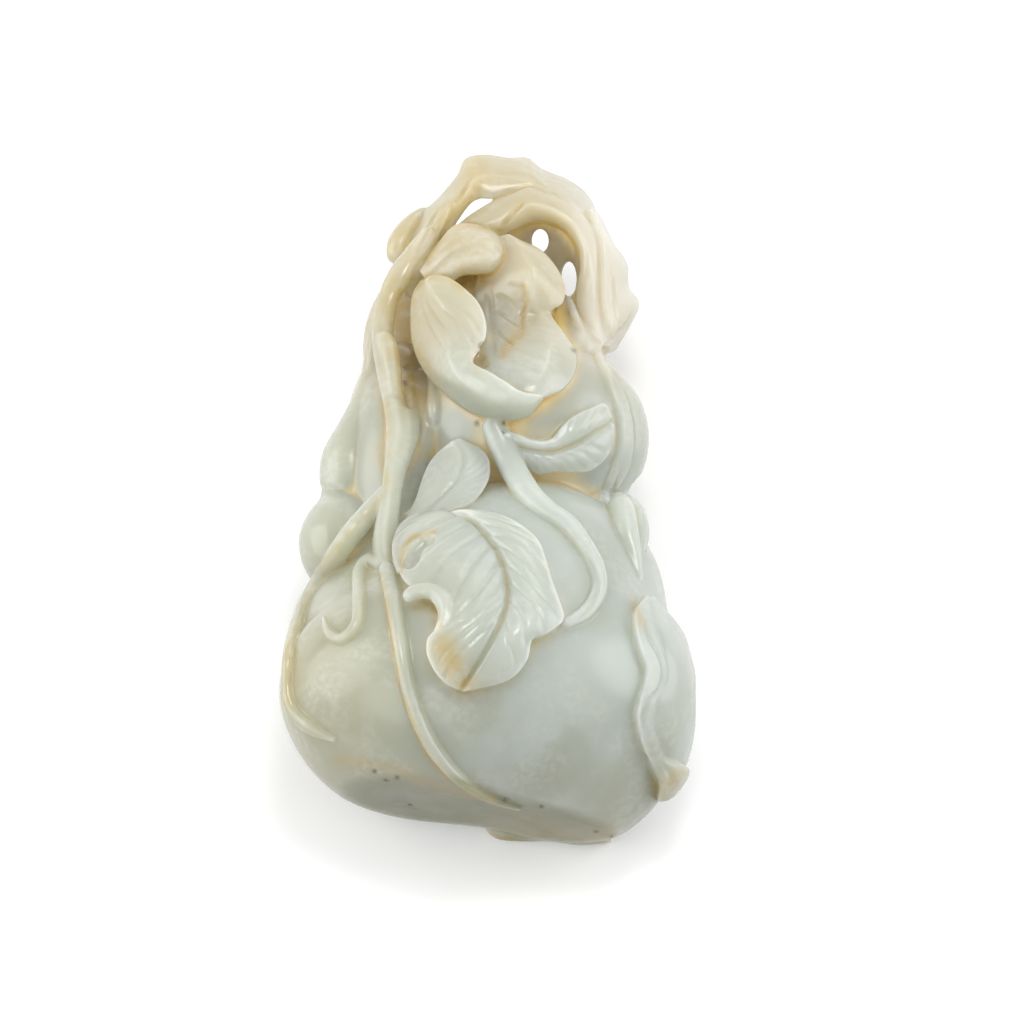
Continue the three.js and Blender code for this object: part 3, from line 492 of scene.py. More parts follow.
    # the raised rim and the curled lobe of the large leaf
    yield stem(
        path=[(-13.3, -7), (-13.8, -4.5), (-13.3, -2.1), (-11.9, -0.5), (-10.2, 0.3), (-8.4, 0.1)],
        radius=[0.5, 0.6, 0.65, 0.65, 0.6, 0.3],
        lift=1.9,
    )
    yield stem(
        path=[
            (-12.5, -11.4), (-11.3, -10.3), (-9, -9.9), (-7.1, -10.8), (-6.3, -12.9),
            (-7.3, -15.7),
        ],
        radius=[0.9, 1.2, 1.35, 1.3, 1.15, 0.6],
        lift=2.4,
    )
    # the bud behind the left foot of the arch
    yield stem(
        path=[
            (-9.5, 52.4, 20), (-11.9, 50.1, 20), (-13.5, 47.6, 20), (-14.4, 45.7, 20),
            (-15.1, 43.8, 20),
        ],
        radius=[1.0, 1.8, 2.25, 2.0, 1.0],
    )


def arch():
    """The vine where it bends over the top: an outer flat branch and an inner ring below it."""
    yield leaf(
        left=[
            (-14.4, 42.8, 22), (-12.7, 46.8, 22), (-10.5, 51.7, 21.5), (-7.5, 54.9, 21),
            (-4.9, 58.1, 22), (-3.7, 60.6, 22), (-0.6, 61.3, 22), (3.2, 60.8, 22), (6.3, 60.8, 21),
            (8.7, 59, 20.5), (13.3, 57, 20), (16.5, 54, 19), (19, 47.9, 18),
        ],
        rib=[
            (-13.3, 43.5, 26), (-9.5, 49.2, 26), (-5.9, 53, 26), (-3.3, 55.5, 26.5),
            (-1.9, 57.4, 26.5), (0, 58.1, 26), (3.2, 57.8, 26), (6, 58.1, 25.5), (8.9, 56.7, 25),
            (12.1, 54.7, 24.5), (14.9, 52, 24), (17.3, 47.3, 23.5),
        ],
        right=[
            (-10.5, 43.8, 24), (-7.5, 47.3, 24), (-5.1, 50.3, 24), (-2.9, 53.2, 24.5),
            (-1.3, 54.1, 25), (0.3, 54.1, 25.5), (2.9, 54.6, 25.5), (6, 55.7, 26), (8.9, 55.2, 26),
            (11.1, 54.3, 25.5), (13.7, 51.3, 25), (15.6, 46.5, 24),
        ],
        swell=0.3,
        thick=5,
        edge=2,
    )
    yield leaf(
        left=[
            (-6.3, 48.6, 24), (-3.5, 51.1, 25), (-1.1, 52.7, 25.5), (0.8, 53.8, 26),
            (3.5, 55.1, 26), (6.3, 56.2, 26), (10.8, 54.7, 25.5), (14.9, 51.9, 25),
            (17.8, 47.3, 24.5), (18.7, 42.2, 24), (19, 37.4, 23.5), (19.5, 33.6, 23),
            (19.8, 30.5, 22),
        ],
        rib=[
            (-5.2, 47.6, 27), (-2.5, 49, 28), (-0.2, 50.1, 28.5), (1.9, 50.9, 28.5),
            (4.3, 52.2, 28.5), (6.7, 53.2, 28.5), (10.2, 52.5, 28.5), (13.7, 50.3, 28),
            (15.9, 46.3, 27.5), (16.5, 42.2, 27), (16.5, 37.8, 26.5), (17.3, 34, 26.5),
            (18.4, 30.8, 25.5),
        ],
        right=[
            (-4, 47, 24), (-1.3, 47.6, 25), (1, 48.1, 25.5), (2.7, 48.6, 26), (4.8, 49.3, 26),
            (7, 50.3, 26), (9.8, 50.3, 26), (12.4, 49, 26), (14.3, 46.2, 26), (14.6, 42.8, 26),
            (14, 38.7, 26), (14.8, 34.6, 25.5), (17, 30.1, 25),
        ],
        swell=0.4,
        thick=8,
        edge=4,
    )


def lining():
    """The wall inside the ring."""
    yield leaf(
        left=[
            (2.7, 48.6, 23), (5.1, 51.1, 24), (9, 51.7, 24), (13.3, 50.5, 24), (15.6, 46.5, 23.5),
            (15.2, 41.7, 23), (14, 37, 22),
        ],
        rib=[
            (2.2, 46.2, 21), (4.8, 47.4, 22), (8.3, 47.6, 22), (11.4, 46.3, 21.5),
            (13.2, 43.3, 21), (13.3, 39.3, 20.5), (13.2, 36, 21),
        ],
        right=[
            (1.9, 43.8, 20), (4.3, 43.8, 20), (7.5, 43.3, 19.5), (9.5, 42.2, 19), (10.8, 40.1, 19),
            (11.4, 37.8, 19.5), (12.4, 34.9, 21),
        ],
        swell=0,
        thick=5,
        edge=5,
    )


def leaves():
    """The leaves over the belly, the waist and the right flank."""
    # the small leaf beside the main stem
    yield leaf(
        left=[
            (-14, 1.3, 30), (-12.7, 4, 30), (-11.6, 6, 30), (-10.6, 9.3, 30), (-9.7, 11.4, 30),
            (-8.6, 13, 30), (-7.1, 14.4, 30.5), (-5.6, 15.5, 31.5),
        ],
        rib=[
            (-13.7, 0.9, 31), (-11.1, 3.3, 32), (-8.6, 5.4, 33), (-6.2, 7.6, 33.5),
            (-4.6, 9.8, 33.5), (-4, 11.9, 33), (-4.1, 13.8, 32.5), (-5.2, 15.5, 32),
        ],
        right=[
            (-13.3, 0.5, 31), (-9.2, 3.3, 34), (-5.7, 4.3, 35), (-2.7, 5.4, 34.5),
            (-0.5, 7.6, 33.5), (0.5, 10.6, 32.5), (-0.5, 13.6, 31.5), (-4.6, 16, 31),
        ],
        swell=0.4,
        thick=6,
        edge=1.5,
        groove=0.6, rim=0.25, veins=8, vein=0.32, slant=0.34, tuck=0.12,
    )
    # the large leaf in the middle of the belly
    yield leaf(
        left=[
            (-6.7, 3), (-9, 2.8), (-11.7, 1.7), (-13.5, -0.3), (-14.1, -3), (-13.7, -5.7),
            (-12.7, -8.6), (-9.2, -10.8), (-7.6, -13.3), (-8.1, -15.4), (-9.2, -16.7),
            (-9.4, -18.6), (-8.7, -20.5), (-7.6, -22.1), (-6.2, -23.3), (-4.4, -24.1),
        ],
        rib=[
            (-6.2, 2.8), (-4.6, 2.5), (-2.7, 1.6), (-1, 0), (0.3, -1.8), (1.4, -3.3), (2.4, -5.9),
            (2.9, -8.3), (3, -10.5), (2.5, -12.7), (1.6, -14.9), (0.3, -17.2), (-1.1, -19.4),
            (-2.5, -21.4), (-4.3, -24),
        ],
        right=[
            (-5.7, 3), (-3.3, 3), (0, 2.7), (3.2, 1.6), (5.7, 0), (7.8, -2.2), (8.7, -4.8),
            (9.7, -8.3), (10.8, -11.4), (11.4, -14.1), (9.2, -15.9), (6.8, -16.8), (5.9, -19.9),
            (2.9, -22.7), (-3.8, -24.3),
        ],
        rise=[1.4, 2.2, 2.4, 2.4, 1.8],
        swell=1.2,
        groove=0.9, rim=0.3, veins=8, vein=0.36, slant=0.26, tuck=0.12,
    )
    # the leaf on the upper bulb
    yield leaf(
        left=[
            (2.4, 16.7), (4.3, 16.5), (7.1, 15.4), (9.7, 15.7), (11.1, 17.4), (13, 19), (15.2, 20),
            (17.3, 20.8), (18.4, 19.8),
        ],
        rib=[
            (2.5, 15.9), (4.8, 14.6), (7.3, 14), (9.8, 13.8), (11.9, 14.4), (13.8, 15.2),
            (15.9, 16.5), (17.9, 17.6), (19, 18.4),
        ],
        right=[
            (2.9, 14.9), (4.4, 13), (6.3, 11.4), (7.9, 10.5), (10.2, 10.9), (12.7, 10.8),
            (15.4, 11.1), (18.1, 13.5), (19.2, 16.8),
        ],
        rise=[1.6, 2.2, 2.3, 2.2, 1.4],
        swell=0.8,
        groove=0.5, rim=0.25, veins=7, vein=0.3, slant=0.3, tuck=0.12,
    )
    # the slender leaf down the right flank of the upper bulb
    yield leaf(
        left=[(17.9, 27.3), (19.7, 23.2), (20.8, 17.1), (20.6, 12), (19.7, 8.2)],
        rib=[(18.4, 27), (21.4, 22.2), (22.7, 17.1), (22.2, 11.7), (20.2, 7.8)],
        right=[(18.9, 27), (23.2, 22), (24.8, 17), (24.1, 11.4), (20.8, 7.4)],
        rise=0.9,
        swell=0.4,
        groove=0.25, tuck=0.1,
    )
    # the long wavy leaf down the right flank of the belly
    yield leaf(
        left=[
            (24.6, -9.4), (22.5, -12.4), (23, -17), (24.3, -21.1), (23.2, -25.7), (22.9, -28.6),
            (24.1, -33.3), (26.5, -37.8),
        ],
        rib=[
            (25.1, -9.5), (25.1, -13.3), (26.7, -17.8), (27.5, -21.8), (26, -25.7), (25.4, -29.2),
            (26.7, -32.9), (28.6, -36.2),
        ],
        right=[
            (25.7, -9.5), (28.7, -14), (31, -18.6), (31.7, -23.8), (31.7, -28.1), (31.3, -31.8),
            (30.8, -34.6), (30.5, -36.5),
        ],
        rise=[0.5, 1.3, 1.3, 1.2, 1.2, 1.2],
        swell=0.5,
        rim=0.3, tuck=0.05,
    )
    # its turned-over tip, free of the belly
    yield leaf(
        left=[(25.1, -35.3, 23), (26.5, -37.8, 20), (27, -39.7, 18), (26.7, -41.8, 16)],
        rib=[(26.3, -34, 24), (28.1, -36.5, 21), (29, -38.6, 19), (28.4, -41.6, 15)],
        right=[
            (28.4, -34.6, 20), (30.8, -35.7, 19), (31.9, -36.8, 17), (31.3, -38.6, 15),
            (29.4, -41.1, 13),
        ],
        swell=0.8,
        thick=5,
        edge=3,
    )


def blossom():
    """The blossom over the stem end: petals round a sunken centre."""
    # the crescent petal that sweeps from the left round the bottom
    yield leaf(
        left=[
            (-10.8, 41.1, 29), (-12.1, 38.6, 28.5), (-12.4, 34.9, 28.5), (-12.1, 31.1, 29),
            (-11, 27.9, 29.5), (-9, 24.9, 30), (-6.3, 22.5, 30.5), (-2.7, 20, 32), (1.9, 18.7, 33),
            (6.3, 19.2, 34.5), (9, 22.5, 36.5),
        ],
        rib=[
            (-10, 40.9, 33), (-8.3, 38.4, 34.5), (-6.7, 35.2, 35.5), (-6.2, 32, 36.5),
            (-6.2, 28.9, 37), (-5.1, 26, 37.5), (-2.5, 23.6, 38), (0.6, 21.9, 38.5),
            (4.1, 21.1, 38.5), (7, 21.3, 38), (8.9, 22.7, 37.5),
        ],
        right=[
            (-9.5, 41.7, 32), (-6.7, 41.6, 33.5), (-3.8, 39.7, 35), (-1.3, 37, 36),
            (-0.2, 33.3, 37), (-1, 30.1, 37.5), (-2.4, 27.9, 38), (0.3, 26.3, 39.5),
            (2.9, 24.7, 40), (5.4, 23.2, 39.5), (8.7, 22.7, 38.5),
        ],
        swell=0.6,
        thick=7,
        edge=1.5,
        rim=0.2,
    )
    # the bowl of the blossom, from its upper to its lower right petal
    yield leaf(
        left=[
            (1.4, 47.9, 29), (0.2, 45.7, 29), (-1.1, 42.8, 29), (-2.1, 39.7, 29), (-2.4, 36.8, 29),
            (-2.5, 34.3, 30.5), (-3, 31.7, 32.5), (-3.2, 28.9, 34.5), (-1.6, 26, 36),
            (2.2, 23.3, 36.5), (6.7, 21.7, 36.5),
        ],
        rib=[
            (3.2, 48.6, 30), (5.4, 45.7, 33), (7, 42.8, 34.5), (7.6, 40, 34), (7.6, 37.4, 32.5),
            (7.6, 34.9, 31.5), (8.7, 32.4, 34), (9.8, 30, 36), (9, 26.7, 37), (7.6, 24.4, 37.5),
            (8.3, 22.8, 37),
        ],
        right=[
            (4.9, 47.6, 30), (8.3, 45.9, 31), (10.8, 43.2, 31), (12.2, 40, 31), (11.9, 37.4, 31),
            (10, 35.7, 31), (12.2, 32.5, 31.5), (14, 29.2, 32), (13.7, 26, 33.5), (11.9, 23.6, 35),
            (9.4, 22.4, 36),
        ],
        swell=0.6,
        thick=9,
        edge=4,
    )
    # the rolled petal at the upper left
    yield leaf(
        left=[
            (-11, 42.5, 28), (-8.7, 46, 28.5), (-5.6, 49.7, 29), (-2.4, 50.1, 29.5),
            (0.3, 49.2, 30), (2.2, 47.4, 30.5), (2.5, 45.7, 31),
        ],
        rib=[
            (-10.3, 41.4, 28.5), (-7.3, 44.4, 31), (-4.4, 46.3, 32.5), (-2.1, 46.3, 33.5),
            (0.2, 46.2, 33.5), (1.6, 45.9, 33), (2.4, 45.4, 32),
        ],
        right=[
            (-9.2, 40.5, 28.5), (-6.3, 40.5, 30), (-4.1, 41.7, 31), (-1.7, 41.9, 31.5),
            (0.5, 42.2, 31.5), (1.9, 43.6, 31.5), (2.4, 44.9, 31.5),
        ],
        swell=1.3,
        thick=7,
        edge=3,
        rim=0.15,
    )
    # the bulb's shoulder between the blossom and the side blossom
    yield stem(
        path=[(14.1, 39, 19), (13.7, 34.9, 21), (14.1, 30.6, 23), (15.2, 26.3, 24)],
        radius=[2.2, 3.2, 3.8, 3.8],
    )
    # the side blossom that opens at the right of the arch
    yield leaf(
        left=[
            (14.3, 51.7, 23), (15.4, 47.3, 23), (15.1, 43.2, 23), (14.3, 39.3, 23),
            (14.6, 36.2, 23), (15.9, 32.4, 23), (17.8, 28.7, 21),
        ],
        rib=[
            (16.5, 52.7, 24), (17.9, 48.9, 25), (18.6, 44.9, 25.5), (18.6, 40.9, 25.5),
            (19, 37.3, 25.5), (19.8, 33.6, 24.5), (19.2, 29.5, 20),
        ],
        right=[
            (18.1, 51.4, 18), (20, 47.3, 18), (22.2, 43.8, 18), (22.5, 40.1, 18), (24.1, 37.4, 18),
            (22.9, 34.3, 18), (20.3, 29.8, 18),
        ],
        swell=0.8,
        thick=7,
        edge=4,
    )


def hollows():
    """What is cut out after the pieces are joined."""
    # the two eyes that pierce the wall inside the ring
    yield eye((8.3, 47.4), (1.35, 1.9))
    yield eye((12.9, 41.3), (1.2, 2.8))


def back():
    """The plain back: a broad leaf over the waist, a creeper, and the leaf edge under the belly."""
    yield leaf(
        left=[(14, 24), (4, 23), (-5, 15), (-9, 3), (-7, -7)],
        rib=[(14, 23), (9, 18), (4, 10), (-1, 0), (-6, -8)],
        right=[(15, 22), (16, 12), (12, 2), (5, -6), (-5, -9)],
        rise=[2, 2.6, 2.6, 2.6, 2],
        swell=0.8,
        thick=3,
        onto=on_back,
        groove=0.5, rim=0.15, veins=6, vein=0.2, tuck=0.1,
    )
    yield stem(
        path=[(14, 24), (19, 13), (19, -1), (16, -13), (20, -25), (24, -37), (23, -49)],
        radius=[1.6, 1.6, 1.5, 1.5, 1.4, 1.3, 0.8],
        lift=0.5,
        onto=on_back,
    )
    yield leaf(
        left=[
            (-1.6, -44.5, 4), (1, -47.5, 3), (5.1, -48.1, 2.5), (9.8, -48.1, 2.5),
            (14.3, -48.7, 2.5), (19.7, -48.3, 4),
        ],
        rib=[
            (-1, -43.5, 5), (1.9, -46, 4.5), (5.7, -46.7, 4.5), (10.2, -47, 4.5),
            (14.6, -47.5, 4.5), (19, -47, 5),
        ],
        right=[
            (-0.3, -42.6, 8), (2.5, -43.8, 8), (6, -44.1, 8), (10.5, -44.5, 8), (14.6, -44.8, 8),
            (18.4, -45.4, 8),
        ],
        swell=0.3,
        thick=9,
        edge=8,
    )


def furrows():
    """Lines cut into the front: places, radius and depth."""
    # the vertical pair and the slanting cuts in the blossom's centre
    yield [(-0.3, 39.7), (0.2, 35.9), (0.6, 32), (1.3, 27.9)], 0.35, 0.35
    yield [(0.2, 40.3), (0.8, 36.2), (1.3, 31.4)], 0.3, 0.25
    yield [(3.5, 40.6), (6, 40.1)], 0.3, 0.3
    yield [(1.3, 38.9), (3.2, 37.8), (5.1, 36.3)], 0.3, 0.3
    yield [(1.1, 36.3), (3.5, 34.7), (6, 33)], 0.35, 0.4
    yield [(1, 33.5), (2.5, 31.9), (4.3, 30.6)], 0.35, 0.4
    yield [(5.6, 40.1), (6, 38.9), (5.6, 37.8), (6, 36.5), (5.4, 35.2), (5.7, 32.7)], 0.25, 0.3
    # the rough pocket where the two petals meet
    yield [(-1.6, 29), (-1.3, 28.1), (-0.6, 27.3)], 1.3, 0.6
    # the fans of lines on the petals
    yield [(1.9, 29.5), (5.4, 27.3), (8.3, 26)], 0.35, 0.15
    yield [(3.2, 30.8), (6.7, 29.2), (9.8, 27.9)], 0.35, 0.15
    yield [(4.4, 32), (7.9, 31.3), (11.1, 29.8)], 0.35, 0.15
    yield [(-9.5, 39.7), (-6.3, 37.8), (-2.9, 34.9), (-1, 31.7)], 0.4, 0.15
    yield [(-9.8, 39), (-7, 36.3), (-3.8, 33), (-1.9, 30.1)], 0.4, 0.15
    yield [(-10.2, 38.2), (-7.9, 34.9), (-5.1, 31.1)], 0.4, 0.15
    yield [(-10.5, 37.3), (-8.9, 33.3), (-6.7, 29.5)], 0.4, 0.12
    # the border between the arch and the ring
    yield [(-1.6, 52.8), (1, 54.1), (3.5, 55.2), (6.3, 56.3), (8.3, 55.7), (10.8, 54.7)], 0.35, 0.35
    yield [(17.3, 50.1), (17.9, 46.5), (17.8, 41.7), (18.1, 37), (19.2, 31.9)], 0.6, 0.35
    yield [(19.8, 44.4), (20, 39.7), (20.3, 36.5), (21.3, 33)], 0.5, 0.3
    yield [(15.9, 45.4), (16.2, 40.6), (16.8, 35.9), (17.9, 32)], 0.6, 0.15
    # the winding furrow on the long leaf, and the mouth of the side blossom
    yield [
        (25.1, -11.6), (24.8, -13.5), (25.4, -15.4), (26.5, -17.3), (27.6, -19.7), (27.8, -21.9),
        (27, -24.1), (25.7, -25.7), (24.6, -28), (24.6, -29.5), (25.1, -30.7),
    ], 0.6, 0.45
    yield [(23.5, 36.5), (21.6, 33.6), (19.7, 31.7), (18.3, 30.3)], 0.4, 0.4
    # the long fold on the ring
    yield [(2.2, 49.5), (3.2, 50.9), (4.4, 52.4), (5.6, 53.5)], 0.5, 0.5
    # the hollow behind the raised rim of the large leaf
    yield [(-12.5, -4.5), (-11.9, -2.4), (-10.6, -0.8), (-9.2, 0)], 1.5, 1.4
    # the double ridge of the creeper's lower loop
    yield [(14.6, -1), (16.7, -4.5), (17.3, -8), (15.9, -11.1), (12.7, -13.7)], 0.35, 0.45
    # the lengthwise furrows on the left foot of the arch
    yield [
        (-2.5, 57.4), (-4, 55.2), (-5.6, 52.8), (-6, 50.6), (-7.9, 47.6), (-10.5, 43.8),
    ], 0.5, 0.4
    yield [(-7.9, 52.4), (-10.2, 48.6), (-12.2, 44.4)], 0.5, 0.3
    yield [(-10.2, 52.5), (-11.7, 49.8), (-13, 46.8), (-14.9, 43.2)], 0.4, 0.3
    # the small dark pits in the end of the belly
    for x, v in PITS:
        yield [(x, v), (x + PIT_RADIUS, v)], PIT_RADIUS, PIT_RADIUS


# The field and how pieces join it.
low_node = np.floor(LOWEST / NODE_GAP).astype(int)
shape = tuple(np.ceil(HIGHEST / NODE_GAP).astype(int) - low_node)
axes = [(low_node[i] + np.arange(shape[i])) * NODE_GAP for i in range(3)]
field = np.empty(shape, np.float32)
# How many layers of the lattice are worked out at a time.
SLICE = 8
# How many times the polish draws each node towards its neighbours.
POLISHING_PASSES = 1


def fill_with_gourd():
    """The big double gourd with the stone behind the open work, one slice of the lattice at a time."""
    x, y = (axis.astype(np.float32) for axis in (axes[0][:, None, None], axes[1][None, :, None]))
    for k in range(0, shape[2], SLICE):
        z = axes[2][None, None, k : k + SLICE].astype(np.float32)
        gap = blended_union(belly_gap(x, y, z), crown_gap(x, y, z), WAIST_BLEND)
        for lump in (CORE, BACKING, FLANK):
            gap = blended_union(gap, ellipsoid_gap(x, y, z, lump), JOIN)
        field[:, :, k : k + SLICE] = np.clip(gap, -BAND, BAND)


def window_of(piece):
    """The part of the lattice round a closed mesh, and the gap to that mesh there."""
    points, faces = piece
    lattice = openvdb.createLinearTransform(voxelSize=NODE_GAP)
    grid = openvdb.FloatGrid.createLevelSetFromPolygons(
        points.astype(np.float32),
        triangles=faces.astype(np.uint32),
        transform=lattice,
        halfWidth=BAND / NODE_GAP,
    )
    low = np.maximum(np.floor((points.min(0) - BAND) / NODE_GAP).astype(int), low_node)
    high = np.minimum(np.ceil((points.max(0) + BAND) / NODE_GAP).astype(int), low_node + shape)
    gap = np.empty(tuple(high - low), np.float32)
    grid.copyToArray(gap, ijk=tuple(int(i) for i in low))
    part = tuple(slice(a, b) for a, b in zip(low - low_node, high - low_node))
    return part, gap


def join(piece, width=JOIN):
    part, gap = window_of(piece)
    field[part] = blended_union(field[part], gap, width)


def cut(piece, width=JOIN):
    part, gap = window_of(piece)
    field[part] = blended_cut(field[part], -gap, width)


def sampled(values, points):
    """The values of a lattice at points, read between its nodes."""
    at = points / NODE_GAP - low_node
    i = np.clip(np.floor(at).astype(int), 0, np.array(values.shape) - 2)
    f = np.clip(at - i, 0, 1)
    total = 0
    for corner in np.ndindex(2, 2, 2):
        weight = np.prod(np.where(corner, f, 1 - f), axis=-1)
        total = total + weight * values[tuple(np.moveaxis(i + corner, -1, 0))]
    return total


def field_normal(points):
    offset = NODE_GAP * np.eye(3)
    slopes = [sampled(field, points + offset[i]) - sampled(field, points - offset[i]) for i in range(3)]
    return unit(np.stack(slopes, axis=-1))


def heights_seen():
    """For each line of sight through the lattice, the height at which it meets the stone."""
    v_low = math.floor((axes[1][0] * RISE + axes[2][0] * RUN) / NODE_GAP)
    v_high = math.ceil((axes[1][-1] * RISE + axes[2][-1] * RUN) / NODE_GAP)
    v = np.arange(v_low, v_high) * NODE_GAP
    heights = np.zeros((shape[0], len(v)), np.float32)
    found = np.zeros(heights.shape, bool)
    before = None
    for k in range(shape[2] - 1, -1, -1):
        at = (v - axes[2][k] * RUN) / RISE / NODE_GAP - low_node[1]
        i = np.clip(np.floor(at).astype(int), 0, shape[1] - 2)
        f = np.clip(at - i, 0, 1)
        row = field[:, i, k] * (1 - f) + field[:, i + 1, k] * f
        outside = (at < 0) | (at > shape[1] - 1)
        row[:, outside] = BAND
        if before is not None:
            hit = ~found & (row <= 0) & (before > 0)
            passed = before / np.maximum(before - row, 1e-6)
            heights = np.where(hit, axes[2][k] + NODE_GAP * (1 - passed), heights)
            found |= hit
        before = row
    return heights, v_low


def seen_points(x, v, heights, v_low):
    """The points of the stone that the viewer sees at the places (x, v)."""
    at = np.stack([x / NODE_GAP - low_node[0], v / NODE_GAP - v_low], axis=-1)
    i = np.clip(np.rint(at).astype(int), 0, np.array(heights.shape) - 1)
    points = seen(x, v, heights[i[..., 0], i[..., 1]])
    for _ in range(SETTLING_STEPS):
        points = points - field_normal(points) * sampled(field, points)[..., None]
    return points


def stamped(lines, heights, v_low):
    """The gap to round lines that follow the surface. Each line is (places, radius, depth), and its
    middle lies its radius less its depth above the surface, tapering off at both ends."""
    gap = np.full(shape, BAND, np.float32)
    for places, radius, depth in lines:
        line = curve(places, np.linspace(0, 1, FURROW_POINTS_A_PLACE * len(places)))
        at, _, share = evenly(line, FURROW_STEP)
        points = seen_points(at[:, 0], at[:, 1], heights, v_low)
        taper = np.clip(np.minimum(share, 1 - share) * FURROW_TAPER, 0, 1)
        sunk = curve(depth, share) * taper
        thick = curve(radius, share)
        middles = points + field_normal(points) * (thick - sunk)[:, None]
        for middle, r in zip(middles, thick):
            reach = r + FURROW_REACH
            low = np.maximum(np.floor((middle - reach) / NODE_GAP).astype(int) - low_node, 0)
            high = np.minimum(np.ceil((middle + reach) / NODE_GAP).astype(int) - low_node, shape)
            part = tuple(slice(a, b) for a, b in zip(low, high))
            squares = [(axes[i][part[i]] - middle[i]) ** 2 for i in range(3)]
            away = squares[0][:, None, None] + squares[1][None, :, None] + squares[2][None, None, :]
            gap[part] = np.minimum(gap[part], np.sqrt(away) - r)
    return gap


def build_field():
    fill_with_gourd()
    for group in (back, small_gourds, vine, leaves, lining, arch, blossom):
        for piece in group():
            join(piece)
    for hollow in hollows():
        cut(hollow)
    heights, v_low = heights_seen()
    lines = stamped(furrows(), heights, v_low)
    field[:] = blended_cut(field, -lines, FURROW_EDGE)
    # the ground flat and the box of the solid
    field[:] = np.maximum(field, -axes[2].astype(np.float32))
    for axis in range(3):
        for side, sign in ((0, -1), (1, 1)):
            wall = cad_box[side][axis] / MM - TO_MIDDLE[axis]
            reach = (sign * (axes[axis] - wall)).astype(np.float32)
            field[:] = np.maximum(field, reach.reshape([-1 if i == axis else 1 for i in range(3)]))


def rounded(values, passes):
    """The lattice with each node drawn towards its neighbours, which softens every edge."""
    for _ in range(passes):
        for axis in range(3):
            before = np.roll(values, 1, axis)
            after = np.roll(values, -1, axis)
            values = (values * 2 + before + after) / 4
    return values


def surface():
    """The zero of the field as a triangle mesh with no more than the triangles allowed."""
    grid = openvdb.FloatGrid(background=BAND)
    grid.copyFromArray(field)
    points, quads = grid.convertToQuads(isovalue=0.0)
    points = (points.astype(np.float64) + low_node) * NODE_GAP
    mesh = mesh_of(points, np.concatenate([quads[:, [0, 1, 2]], quads[:, [0, 2, 3]]]))
    piece = bpy.data.objects.new("jade_double_gourd", mesh)
    bpy.context.scene.collection.objects.link(piece)
    thinner = piece.modifiers.new("thin out", "DECIMATE")
    thinner.ratio = min(1, TRIANGLES_AT_MOST / (2 * len(quads)))
    graph = bpy.context.evaluated_depsgraph_get()
    thin = bpy.data.meshes.new_from_object(piece.evaluated_get(graph))
    piece.modifiers.clear()
    piece.data = thin
    return piece


def mesh_of(points, triangles):
    mesh = bpy.data.meshes.new("stone")
    mesh.vertices.add(len(points))
    mesh.vertices.foreach_set("co", (points * MM).astype(np.float32).ravel())
    mesh.loops.add(triangles.size)
    mesh.loops.foreach_set("vertex_index", triangles.astype(np.int32).ravel())
    mesh.polygons.add(len(triangles))
    mesh.polygons.foreach_set("loop_start", np.arange(0, triangles.size, 3, dtype=np.int32))
    mesh.update(calc_edges=True)
    return mesh


def hollowness(reach):
    """How far each node sits in a hollow: the stone in a cube round it, beyond the half that a flat
    skin would have, as a share of the cube."""
    share = np.clip(0.5 - field / NODE_GAP, 0, 1)
    count = max(1, round(reach / NODE_GAP))
    for axis in range(3):
        share = np.moveaxis(share, axis, 0)
        padded = np.pad(share, [(count + 1, count), (0, 0), (0, 0)], mode="edge")
        sums = np.cumsum(padded, axis=0, dtype=np.float64)
        width = 2 * count + 1
        share = ((sums[width:] - sums[:-width]) / width).astype(np.float32)
        share = np.moveaxis(share, 0, axis)
    return share - 0.5


# The colours of the stone, and the painted glow and shade laid over them.
CELADON = (0.42, 0.44, 0.365)
# deeper celadon towards the bottom, darker also as painted shade where the lower rim gets less light
CELADON_DEEP_AND_SHADED = (0.33, 0.345, 0.265)
CELADON_CLOUD = (0.45, 0.495, 0.46)
STRAW = (0.38, 0.37, 0.245)
# the milky white of the mottles, also used for the painted glow along convex edges
MILK_AND_EDGE_GLOW = (0.61, 0.62, 0.56)
IVORY = (0.48, 0.42, 0.285)
# the yellowish-brown of the flat end, darker also as painted shade where it is lit less
YELLOWISH_END_AND_SHADE = (0.215, 0.218, 0.115)
CREAM = (0.6, 0.56, 0.46)
# a painted glow for the hollows, standing in for light that comes through the stone
HOLLOW_GLOW = (0.98, 0.82, 0.48)
AMBER = (0.55, 0.43, 0.22)
TAN = (0.44, 0.32, 0.115)
DIRT = (0.07, 0.05, 0.02)

# How fine the noises in the stone are, in cycles a metre.
CLOUD_SCALE = 55
VEIL_SCALE = 130
THREAD_SCALE = 420
FLECK_SCALE = 800
WEAR_SCALE = 900

# The ramps of the colours: from where to where a colour comes in and, where they aren't 0 and 1, its
# shares there. Across is x and along is y, in metres. The others go by a noise or a measure.
DRIFT = (0.3, 0.7, -0.007, 0.007)
# along this stretch the bottom's deeper tone and painted shade give way to celadon
CELADON_ALONG = (-0.067, -0.046)
STRAW_ACROSS = (-0.006, -0.028, 0, 0.8)
STRAW_ALONG = (0.002, -0.032, 0.05, 1)
CLOUD_ACROSS = (-0.018, 0.008)
CLOUD_IN_CLOUDS = (0.3, 0.7, 0.4, 0.9)
CLOUD_ALONG = (-0.061, -0.05, 0.25, 1)
IVORY_ALONG = (-0.005, 0.042)
CREAM_ACROSS = (0.01, 0.019)
CREAM_ALONG = (0.01, 0.03)
MILK_IN_VEILS = (0.4, 0.65)
MILK_IN_FLECKS = (0.35, 0.7, 0.05, 0.3)
# painted glow: convex edges are lightened towards milky white, for light that comes through thin stone
PAINTED_EDGE_GLOW = (-0.08, -0.25, 0, 0.4)
